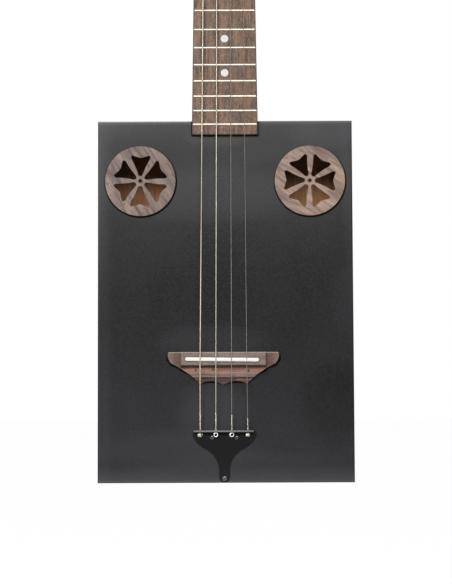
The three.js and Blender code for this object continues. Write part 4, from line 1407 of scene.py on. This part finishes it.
def makeTailpiece():
    plate = plateFrom([tailOutline()], tail["thickness"], tail["rounding"], 12)
    shift(plate, tailMiddle, faceY, 0)
    flange = carve(tailFlange(), [stringHole(ballX(i)) for i in range(4)])
    roundSharp(flange, tail["flangeRounding"], 2, 40)
    addPiece("tail_plate", together(plate, flange), "tailBlack", ["tailpiece"], smooth=40)
    plateY = faceY - tail["thickness"]
    for side, name in ((-1, "tail_screw_left"), (1, "tail_screw_right")):
        small = screwHead(tail["smallRadius"], tail["smallRise"], *tail["smallShank"])
        turnAbout(small, "Z", tail["smallTurn"] * side)
        turnAbout(small, "X", 90)
        shift(small, tailMiddle + side * tail["smallReach"], plateY, tail["smallZ"])
        addPiece(
            name,
            small,
            "blackScrew",
            ["tailpiece"],
            smooth=40,
            second="glintScrew",
            isSecond=onCrown,
        )
    low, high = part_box("tailpiece_screw")
    head = screwHead((high.x - low.x) / 2, plateY - low.y, *tail["screwShank"])
    turnAbout(head, "Z", tail["screwTurn"])
    turnAbout(head, "X", 90)
    shift(head, middleX("tailpiece_screw"), plateY, middleZ("tailpiece_screw"))
    addPiece("tail_screw", head, "darkScrew", ["tailpiece_screw"], smooth=40)


# The fretboard's shape, from the values beside its wood
boardLow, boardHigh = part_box("fretboard")
boardTopY = boardLow.y + board["dotProud"]
fretZ = {0: boardHigh.z}
for n in range(1, board["fretCount"] + 1):
    fretZ[n] = middleZ(f"fret_{n:02}")


def boardWidthAt(z):
    share = (boardHigh.z - z) / (boardHigh.z - boardLow.z)
    return board["nutWidth"] + (board["endWidth"] - board["nutWidth"]) * share


def makeFretboard():
    end, nut, corner = board["endWidth"] / 2, board["nutWidth"] / 2, board["cornerRadius"]
    low, high = boardLow.z, boardHigh.z
    outline = Outline((-end + corner, low))
    outline.line((end - corner, low))
    outline.bend((end, low), (end, low + corner))
    outline.line((nut, high))
    outline.line((-nut, high))
    outline.line((-end, low + corner))
    outline.bend((-end, low), (-end + corner, low))
    shape = plateFrom([outline], faceY - boardTopY, board["rounding"], 6)
    shift(shape, 0, faceY, 0)
    addPiece("fretboard_slab", shape, "boardWood", ["fretboard"], smooth=40)
    dots = []
    for n in board["dotFrets"]:
        z = (fretZ[n] + fretZ[n - 1]) / 2
        aside = boardWidthAt(z) / 4
        for x in [-aside, aside] if n == board["pairFret"] else [0]:
            dots.append(dotAt(x, z))
    addPiece("fretboard_dots", together(*dots), "pearlDot", ["fretboard"], smooth=40)


def dotAt(x, z):
    radius, proud = board["dotRadius"], board["dotProud"]
    profile = [(0, -proud), (radius, -proud), (radius, proud * 0.4), (radius * 0.97, proud * 0.85)]
    shape = turned(profile + [(radius * 0.6, proud), (0, proud)], 40)
    turnAbout(shape, "X", 90)
    return shift(shape, x, boardTopY, z)


def makeFret(n):
    z = fretZ[n]
    half = boardWidthAt(z) / 2 - board["fretInset"]
    wide, rise = board["crownWidth"] / 2, board["crownRise"]
    crown = blockBetween((-half, boardTopY - rise, z - wide), (half, boardTopY, z + wide))
    for vert in crown.verts:
        if vert.co.y < boardTopY - rise / 2:
            vert.co.x -= math.copysign(rise * board["endSlope"], vert.co.x)
    rims = [e for e in crown.edges if all(v.co.y < boardTopY - rise / 2 for v in e.verts)]
    long = [e for e in rims if abs(e.verts[0].co.z - e.verts[1].co.z) < touch]
    roundEdges(crown, long, rise * board["crownRounding"], 5)
    tang = board["tangWidth"] / 2
    spine = blockBetween(
        (-half, boardTopY - rise / 4, z - tang), (half, boardTopY + board["tangDepth"], z + tang)
    )
    wireShape = together(crown, spine)
    addPiece(f"fret_wire_{n:02}", wireShape, "fretMetal", [f"fret_{n:02}"], smooth=50)


makeFretboard()
for n in range(1, board["fretCount"] + 1):
    makeFret(n)
print("fretboard ready")


# The neck and the nut keep the CAD shape, with softened edges
softRadius = {"neck": 0.0006, "nut": 0.0002}


def makeNeck():
    neck = roundSharp(copyOf("neck"), softRadius["neck"], 2, 55)
    addPiece("neck_shaft", neck, "neckWood", ["neck"], smooth=38)
    nut = roundSharp(copyOf("nut"), softRadius["nut"], 2, 40)
    addPiece("nut_bar", nut, "boneWhite", ["nut"], smooth=30)


makeNeck()
print("neck ready")


# The strings: where each crosses the saddle and the nut, and its winding on the post
strings = {
    "diameters": [0.0011, 0.00086, 0.00058, 0.00044],
    "finishes": ["wrapLow", "wrapHigh", "plainSteel", "plainSteel"],
    "slots": ["bronze_wire", "bronze_wire", "steel_wire", "steel_wire"],
    "nutSpread": 0.0298,
    "saddleSpread": 0.0397,
    "ballSpread": 0.0407,
    "nutAction": 0.0005,
    "saddleGap": 0.0001,
    "postGap": 0.0003,
    "headThickness": 0.013,
    "windingTurns": 2,
    "windingGap": 0.00055,
    "windingRise": 0.0084,
    "loopSteps": 24,
    "twistLengths": [0.019, 0.017, 0.0155, 0.0125],
    "twistWires": [0.00022, 0.00027, 0.00032, 0.0003],
    "twistPitch": 0.0011,
    "twistLift": 0.4,
    "nudges": [0.00006, 0.00025, 0.00035, 0.00005],
    "twistFinishes": ["twistWarm", "twistPale", "twistPale", "twistPale"],
    "ballTurns": [55, 0, 8, 84],
    "ballNudges": [0, -0.00043, -0.0005, -0.0001],
}
ball = {
    "radius": 0.00205,
    "bore": 0.0012,
    "groove": 0.00155,
    "width": 0.0031,
    "lip": 0.0001,
    "flangeGap": 0.0003,
    "neckRise": 0.0036,
    "twistShare": 0.65,
    "loopStart": 35,
    "loopSweep": 250,
    "loopSteps": 24,
}
nutLow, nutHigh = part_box("nut")
fretTopY = boardTopY - board["crownRise"]
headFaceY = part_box("tuner_plate_1")[0].y - strings["headThickness"]
ballZ = tailHigh.z - tail["flangeThickness"] - ball["flangeGap"] - ball["radius"]
postRadius = 0.003
bushings = [f"tuner_bushing_{number}" for number in range(1, 5)]
tunerPlaces = [(middleX(node), middleZ(node)) for node in bushings]


def spread(i, name):
    return (i / 3 - 0.5) * strings[name] + strings["nudges"][i]


def ballX(i):
    return (tailMiddle + bridgeMiddle) / 2 + spread(i, "ballSpread") + strings["ballNudges"][i]


def crossingX(i):
    return bridgeMiddle + spread(i, "saddleSpread")


def windingPoints(i, fromX, fromZ):
    centreX, centreZ = tunerPlaces[i]
    thick = strings["diameters"][i]
    radius = postRadius + strings["postGap"] + thick / 2
    outward = 1 if centreX < 0 else -1
    overX, overZ = (fromX - centreX) * outward, fromZ - centreZ
    start = math.atan2(overZ, overX) + math.acos(radius / math.hypot(overX, overZ))
    steps = strings["loopSteps"]
    points = []
    for k in range(strings["windingTurns"] * steps + 1):
        angle = start + k * 2 * math.pi / steps
        y = headFaceY - strings["windingRise"] + (thick + strings["windingGap"]) * k / steps
        x = centreX + outward * radius * math.cos(angle)
        points.append(Vector((x, y, centreZ + radius * math.sin(angle))))
    return points


# A round wire through these points
def wire(points, radius, fineness=3, closed=False):
    curve = bpy.data.curves.new("wire", "CURVE")
    curve.dimensions = "3D"
    curve.bevel_depth = radius
    curve.bevel_resolution = fineness
    curve.use_fill_caps = True
    spline = curve.splines.new("POLY")
    spline.points.add(len(points) - 1)
    spline.use_cyclic_u = closed
    for point, at in zip(spline.points, points):
        point.co = (*at, 1)
    return shapeOfCurve(curve)


# Points of a helix round the line from one point to another
def helixPoints(start, end, radius, pitch, steps=10):
    along = end - start
    turns = along.length / pitch
    aside = along.orthogonal().normalized()
    other = along.normalized().cross(aside)
    points = []
    for k in range(int(turns * steps) + 1):
        angle = k * 2 * math.pi / steps
        centre = start + along * (k / (turns * steps))
        points.append(centre + (aside * math.cos(angle) + other * math.sin(angle)) * radius)
    return points


def makeBall(i, place):
    bore, radius, wide = ball["bore"], ball["radius"], ball["width"] / 2
    upper = [
        (ball["groove"], wide * 0.36),
        (radius, wide * 0.6),
        (radius, wide * 0.86),
        (radius * 0.9, wide),
        (bore * 1.15, wide + ball["lip"]),
        (bore, wide),
    ]
    lower = [(out, -up) for out, up in reversed(upper)]
    spool = turned([*lower, *upper, (bore, -wide)], 48)
    turnAbout(spool, "X", 90)
    turnAbout(spool, "Z", strings["ballTurns"][i])
    shift(spool, *place)
    addPiece(f"string_ball_{i + 1}", spool, "ballMetal", [f"string_{i + 1}"], smooth=50)


# The wire goes round the groove and both its ends come together above the ball
def loopPoints(i, place, thick):
    turn = math.radians(strings["ballTurns"][i])
    aside = Vector((math.cos(turn), math.sin(turn), 0))
    up = Vector((0, 0, 1))
    radius = ball["groove"] + thick
    points = [place + up * ball["neckRise"] + aside * thick]
    for k in range(ball["loopSteps"] + 1):
        angle = math.radians(ball["loopStart"] - k * ball["loopSweep"] / ball["loopSteps"])
        points.append(place + (aside * math.cos(angle) + up * math.sin(angle)) * radius)
    points.append(place + up * ball["neckRise"] - aside * thick)
    return points


def makeString(i):
    thick = strings["diameters"][i] / 2
    place = Vector((ballX(i), faceY - tail["holeRise"], ballZ))
    crossX = crossingX(i)
    tilt = math.tan(math.radians(saddle["slantDegrees"]))
    crossY = saddleLow.y - strings["saddleGap"] - thick
    overSaddle = Vector((crossX, crossY, saddleZ - (crossX - saddleX) * tilt))
    nutX = spread(i, "nutSpread")
    nutY = fretTopY - strings["nutAction"] - thick
    overNut = Vector((nutX, nutY, nutLow.z))
    offNut = Vector((nutX, nutY, nutHigh.z))
    start = place + Vector((0, 0, ball["neckRise"]))
    route = [start, overSaddle, overNut, offNut, *windingPoints(i, nutX, nutHigh.z)]
    fromBall = place + Vector((0, 0, ball["radius"] * ball["twistShare"]))
    along = (overSaddle - fromBall).normalized()
    twistEnd = fromBall + along * strings["twistLengths"][i]
    wrapThick = strings["twistWires"][i]
    aside = thick + wrapThick * strings["twistLift"]
    twist = helixPoints(start, twistEnd, aside, strings["twistPitch"], 14)
    nodes, slot = [f"string_{i + 1}"], strings["slots"][i]
    main = wire(route, thick, 4)
    addPiece(f"string_wire_{i + 1}", main, strings["finishes"][i], nodes, smooth=60)
    lock = together(wire(twist, wrapThick, 2), wire(loopPoints(i, place, wrapThick), wrapThick, 2))
    addPiece(f"string_lock_{i + 1}", lock, strings["twistFinishes"][i], nodes, smooth=60)
    makeBall(i, place)
    return route[-1].y


makeTailpiece()
holeYs = [makeString(i) for i in range(4)]
print("strings ready")


# Tuning machines: a plate behind the head, a geared post through it, a worm and its button
tuner = {
    "gap": 0.0003,
    "drillLength": 0.02,
    "plateWidth": 0.013,
    "plateLength": 0.0405,
    "plateThickness": 0.0013,
    "plateRounding": 0.0003,
    "gearRadius": 0.0062,
    "gearThickness": 0.003,
    "gearRounding": 0.00015,
    "toothDepth": 0.0009,
    "teeth": 15,
    "wormRadius": 0.0026,
    "wormCore": 0.72,
    "wormLength": 0.007,
    "threadPitch": 0.0024,
    "threadRadius": 0.0005,
    "threadDepth": 0.00055,
    "shaftRadius": 0.0015,
    "shaftEnd": 0.0003,
    "lugThickness": 0.0015,
    "lugWidth": 0.006,
    "lugOverlap": 0.0005,
    "lugBack": 0.8,
    "lugRounding": 0.0002,
    "screwRadius": 0.0022,
    "screwRise": 0.001,
    "screwShank": (0.0011, 0.008),
    "screwTurn": 20,
    "screwTurnStep": 35,
    "postRise": 0.0135,
    "postSink": 0.0002,
    "tipRadius": 0.0024,
    "holeRadius": 0.0009,
    "slotHalf": 0.0003,
    "slotFloor": 0.4,
    "slotCut": 0.003,
    "sleeveShare": 0.8,
    "buttonStart": 0.017,
    "buttonLength": 0.013,
    "buttonWidth": 0.017,
    "buttonThickness": 0.0065,
    "buttonRounding": 0.002,
}
# Turned profiles: shares of a radius, then shares of a rise, or distances from the post's tip
# and from where the button starts
tunerProfiles = {
    "postHead": [(0, 1), (0.5, 0.97), (0.92, 0.45)],
    "postShoulder": [(1, -0.0014), (0.93, -0.0009)],
    "postTip": [(1, -0.0001), (0.8, 0), (0, 0)],
    "collar": [(1, 0), (1, 0.35), (0.97, 0.5)],
    "sleeve": [(1.04, 0.66), (1, 0.9), (0.95, 1)],
    "mouth": [(1.06, 1), (1, 0.9)],
    "ferrule": [(1, -0.0035), (1.7, -0.0032), (1.8, -0.0006), (1.5, 0.0004), (1.5, 0.003), (0, 0.003)],
}
headBackY = headFaceY + strings["headThickness"]
plateBackY = headBackY + tuner["plateThickness"]
gearFrontY = plateBackY + tuner["gap"]
wormY = gearFrontY + tuner["gearThickness"] / 2 + tuner["shaftRadius"]
wormDrop = tuner["gearRadius"] + tuner["wormRadius"] + tuner["gap"]
# Round one tooth: shares of its pitch, and 0 at its root and 1 at its tip
toothShares = [(0, 0), (0.35, 0), (0.5, 1), (0.85, 1)]


def drillAcross(radius, y, sides=32):
    return shift(turnAbout(rod(radius, tuner["drillLength"], sides), "Y", 90), 0, y, 0)


def makeLug(end):
    near = end * (tuner["wormLength"] / 2 + tuner["gap"])
    far = near + end * tuner["lugThickness"]
    reach = tuner["lugWidth"] / 2
    low = (min(near, far), plateBackY - tuner["lugOverlap"], -reach)
    lug = blockBetween(low, (max(near, far), wormY + reach, reach))
    back = [e for e in lug.edges if all(abs(v.co.y - wormY - reach) < touch for v in e.verts)]
    along = [e for e in back if abs(e.verts[0].co.x - e.verts[1].co.x) > touch]
    roundEdges(lug, along, reach * tuner["lugBack"], 5)
    bore = drillAcross(tuner["shaftRadius"] + tuner["gap"], wormY)
    return roundSharp(carve(lug, [bore]), tuner["lugRounding"], 1, 40)


def makeTunerPlate(number, x, z):
    half, length = tuner["plateWidth"] / 2, tuner["plateLength"]
    middle = z - wormDrop / 2
    outline = barOutline(length, tuner["plateWidth"])
    hole = circleOutline((-(wormDrop / 2), 0), postRadius + tuner["gap"])
    shape = plateFrom([outline, hole], tuner["plateThickness"], tuner["plateRounding"], 10)
    turnAbout(shape, "Y", 90)
    parts = [shift(shape, x, plateBackY, middle)]
    for end in (-1, 1):
        parts.append(shift(makeLug(end), x, 0, z - wormDrop))
        screw = screwHead(tuner["screwRadius"], tuner["screwRise"], *tuner["screwShank"])
        turnAbout(screw, "Z", tuner["screwTurn"] + tuner["screwTurnStep"] * number * end)
        turnAbout(screw, "X", -90)
        parts.append(shift(screw, x, plateBackY, middle + end * (length / 2 - half)))
    node = f"tuner_plate_{number}"
    addPiece(f"tuner_base_{number}", together(*parts), "nickelPlate", [node], smooth=40)


def gearOutline():
    outline = None
    for tooth in range(tuner["teeth"]):
        for share, out in toothShares:
            angle = (tooth + share) * 2 * math.pi / tuner["teeth"]
            radius = tuner["gearRadius"] - tuner["toothDepth"] * (1 - out)
            place = (radius * math.cos(angle), radius * math.sin(angle))
            outline = outline.line(place) if outline else Outline(place)
    return outline


def makeTunerPost(number, x, z, holeY):
    thick = tuner["gearThickness"]
    gear = plateFrom([gearOutline()], thick, tuner["gearRounding"], 2, 1)
    shift(gear, 0, gearFrontY + thick, 0)
    tip = gearFrontY - (headFaceY - tuner["postRise"])
    screw, rise = tuner["screwRadius"], tuner["screwRise"]
    profile = [(screw * out, -thick - rise * up) for out, up in tunerProfiles["postHead"]]
    profile += [(radius, -thick + tuner["postSink"]) for radius in (screw, postRadius)]
    profile += [(postRadius * out, tip + along) for out, along in tunerProfiles["postShoulder"]]
    profile += [(tuner["tipRadius"] * out, tip + along) for out, along in tunerProfiles["postTip"]]
    shaft = turnAbout(turned(profile, 48), "X", 90)
    shift(shaft, 0, gearFrontY, 0)
    backY, half = gearFrontY + thick, tuner["slotHalf"]
    low = (-screw, backY + rise * tuner["slotFloor"], -half)
    slot = blockBetween(low, (screw, backY + tuner["slotCut"], half))
    shaft = carve(shaft, [drillAcross(tuner["holeRadius"], holeY, 24), slot])
    nodes, body = [f"tuner_post_{number}"], f"post_{number}"
    shift(shaft, x, 0, z)
    shift(gear, x, 0, z)
    addPiece(f"tuner_shaft_{number}", shaft, "nickelPlate", nodes, body, smooth=35)
    addPiece(f"tuner_gear_{number}", gear, "gearBrass", nodes, body, smooth=30)


def makeTunerBushing(number, x, z):
    low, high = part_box(f"tuner_bushing_{number}")
    collar = (high.x - low.x) / 2
    sleeve, bore = collar * tuner["sleeveShare"], postRadius + tuner["gap"]
    rise, back = headFaceY - low.y, headFaceY - high.y
    profile = [(bore, back), (sleeve, back), (sleeve, 0)]
    for radius, stretch in ((collar, "collar"), (sleeve, "sleeve"), (bore, "mouth")):
        profile += [(radius * out, rise * up) for out, up in tunerProfiles[stretch]]
    shape = turnAbout(turned([*profile, (bore, back)], 48), "X", 90)
    shift(shape, x, headFaceY, z)
    node = f"tuner_bushing_{number}"
    addPiece(f"tuner_collar_{number}", shape, "nickelPlate", [node], smooth=35)


# Shares of the button's length and of half its width
buttonShares = {
    "neck": (0, 0.28),
    "neckPull": (0.1, 1),
    "cheekPull": (0.3, 1),
    "cheek": (0.55, 1),
    "corner": (0.9, 1),
    "endPull": (1, 0.5),
    "end": (1, 0),
}


def buttonOutline():
    def at(edge, name):
        along, across = buttonShares[name]
        return (tuner["buttonLength"] * along, edge * tuner["buttonWidth"] / 2 * across)

    outline = Outline(at(-1, "neck"))
    outline.curve(at(-1, "neckPull"), at(-1, "cheekPull"), at(-1, "cheek"))
    outline.curve(at(-1, "corner"), at(-1, "endPull"), at(1, "end"))
    outline.curve(at(1, "endPull"), at(1, "corner"), at(1, "cheek"))
    outline.curve(at(1, "cheekPull"), at(1, "neckPull"), at(1, "neck"))
    return outline


def makeTunerButton(number, x, z):
    radius, start, length = tuner["shaftRadius"], tuner["buttonStart"], tuner["wormLength"] / 2
    core = tuner["wormRadius"] * tuner["wormCore"]
    inner = length + tuner["lugThickness"] + 2 * tuner["gap"]
    profile = [
        (0, -inner),
        (radius * 0.85, -inner),
        (radius, -inner + tuner["shaftEnd"]),
        (radius, -length),
        (core, -length),
        (core, length),
        (radius, length),
    ]
    profile += [(radius * out, start + along) for out, along in tunerProfiles["ferrule"]]
    reach = Vector((0, 0, length - tuner["threadRadius"]))
    aside = tuner["wormRadius"] - tuner["threadDepth"]
    thread = wire(helixPoints(-reach, reach, aside, tuner["threadPitch"], 20), tuner["threadRadius"], 2)
    metal = turnAbout(together(turned(profile, 40), thread), "Y", 90)
    knob = plateFrom([buttonOutline()], tuner["buttonThickness"], tuner["buttonRounding"], 12, 5)
    shift(knob, start, tuner["buttonThickness"] / 2, 0)
    nodes, body = [f"tuner_button_{number}"], f"button_{number}"
    for shape in (metal, knob):
        if x < 0:
            turnAbout(shape, "Z", 180)
        shift(shape, x, wormY, z - wormDrop)
    addPiece(f"tuner_worm_{number}", metal, "nickelPlate", nodes, body, smooth=35)
    addPiece(f"tuner_knob_{number}", knob, "creamButton", nodes, body, smooth=60)


for number, (x, z) in enumerate(tunerPlaces, 1):
    makeTunerPlate(number, x, z)
    makeTunerPost(number, x, z, holeYs[number - 1])
    makeTunerBushing(number, x, z)
    makeTunerButton(number, x, z)
print("tuners ready")


# The studio: a pale floor, a white surround and soft lamps
studio = {
    "floorSize": 6,
    "floorColour": tint(214, 214, 214),
    "floorGlow": 0.985,
    "surround": 1.0,
    "fillLevel": 0.1,
    "lamps": {
        "keyLamp": {"place": (-0.62, -1.33, 0.72), "size": (0.4, 0.4), "watts": 10.7},
        "softLamp": {"place": (0.08, -1.48, 0.66), "size": (0.95, 0.5), "watts": 11.5},
    },
    "target": (0, -0.03, 0.17),
}


# 1 where it is seen directly, in a reflection or through glass
def seenDirectly(nodes):
    seen = 0
    for kind in ("Camera", "Glossy", "Transmission"):
        ray = nodes.node("ShaderNodeLightPath", output=f"Is {kind} Ray")
        seen = ray.maths("MAXIMUM", seen, ray)
    return seen


def makeFloor():
    constants = {"Base Color": studio["floorColour"], "Roughness": 0.9, "Specular IOR Level": 0.1}
    finish = Finish("paleFloor", constants)
    glow = finish.node("ShaderNodeEmission", None, {"Color": (1, 1, 1, 1), "Strength": 1})
    share = seenDirectly(finish) * studio["floorGlow"]
    plain = Value(finish, finish.shader.outputs[0])
    mixed = finish.node("ShaderNodeMixShader", None, {0: share, 1: plain, 2: glow})
    finish.feed(finish.tree.nodes["Material Output"].inputs["Surface"], mixed)
    shape = bmesh.new()
    bmesh.ops.create_grid(shape, x_segments=1, y_segments=1, size=studio["floorSize"])
    mesh = meshOf(shape, "studio_floor")
    mesh.materials.append(finish.material)
    floor = bpy.data.objects.new("studio_floor", mesh)
    scene.collection.objects.link(floor)


def makeWorld():
    world = bpy.data.worlds.new("studio")
    world.use_nodes = True
    scene.world = world
    nodes = Nodes(world.node_tree)
    levels = {"Value": seenDirectly(nodes), "To Min": studio["fillLevel"], "To Max": studio["surround"]}
    back = nodes.tree.nodes["Background"]
    nodes.feed(back.inputs["Color"], (1, 1, 1, 1))
    nodes.feed(back.inputs["Strength"], nodes.node("ShaderNodeMapRange", None, levels))


def aim(place, target):
    return (Vector(target) - Vector(place)).to_track_quat("-Z", "Y").to_matrix().to_4x4()


def makeLamps():
    for name, lamp in studio["lamps"].items():
        light = bpy.data.lights.new(name, "AREA")
        light.shape = "RECTANGLE"
        light.size, light.size_y = lamp["size"]
        light.energy = lamp["watts"]
        holder = bpy.data.objects.new(name, light)
        holder.matrix_world = Matrix.Translation(lamp["place"]) @ aim(lamp["place"], studio["target"])
        scene.collection.objects.link(holder)


# The camera stands low in front of the box, with a lens long enough to frame it
camera = {
    "place": (0.001803, -1.42872, 0.06759),
    "target": (0.000409, -0.032, 0.16336),
    "rollDegrees": -0.2304,
    "lens": 100.28,
    "sensor": 36,
}


def makeCamera():
    data = bpy.data.cameras.new("camera")
    data.lens = camera["lens"]
    data.sensor_fit = "AUTO"
    data.sensor_width = camera["sensor"]
    data.clip_start, data.clip_end = 0.01, 50
    holder = bpy.data.objects.new("camera", data)
    roll = Matrix.Rotation(math.radians(camera["rollDegrees"]), 4, "Z")
    turn = aim(camera["place"], camera["target"]) @ roll
    holder.matrix_world = Matrix.Translation(camera["place"]) @ turn
    scene.collection.objects.link(holder)
    scene.camera = holder


makeFloor()
makeWorld()
makeLamps()
makeCamera()
scene.view_settings.view_transform = "Standard"
print("studio ready")
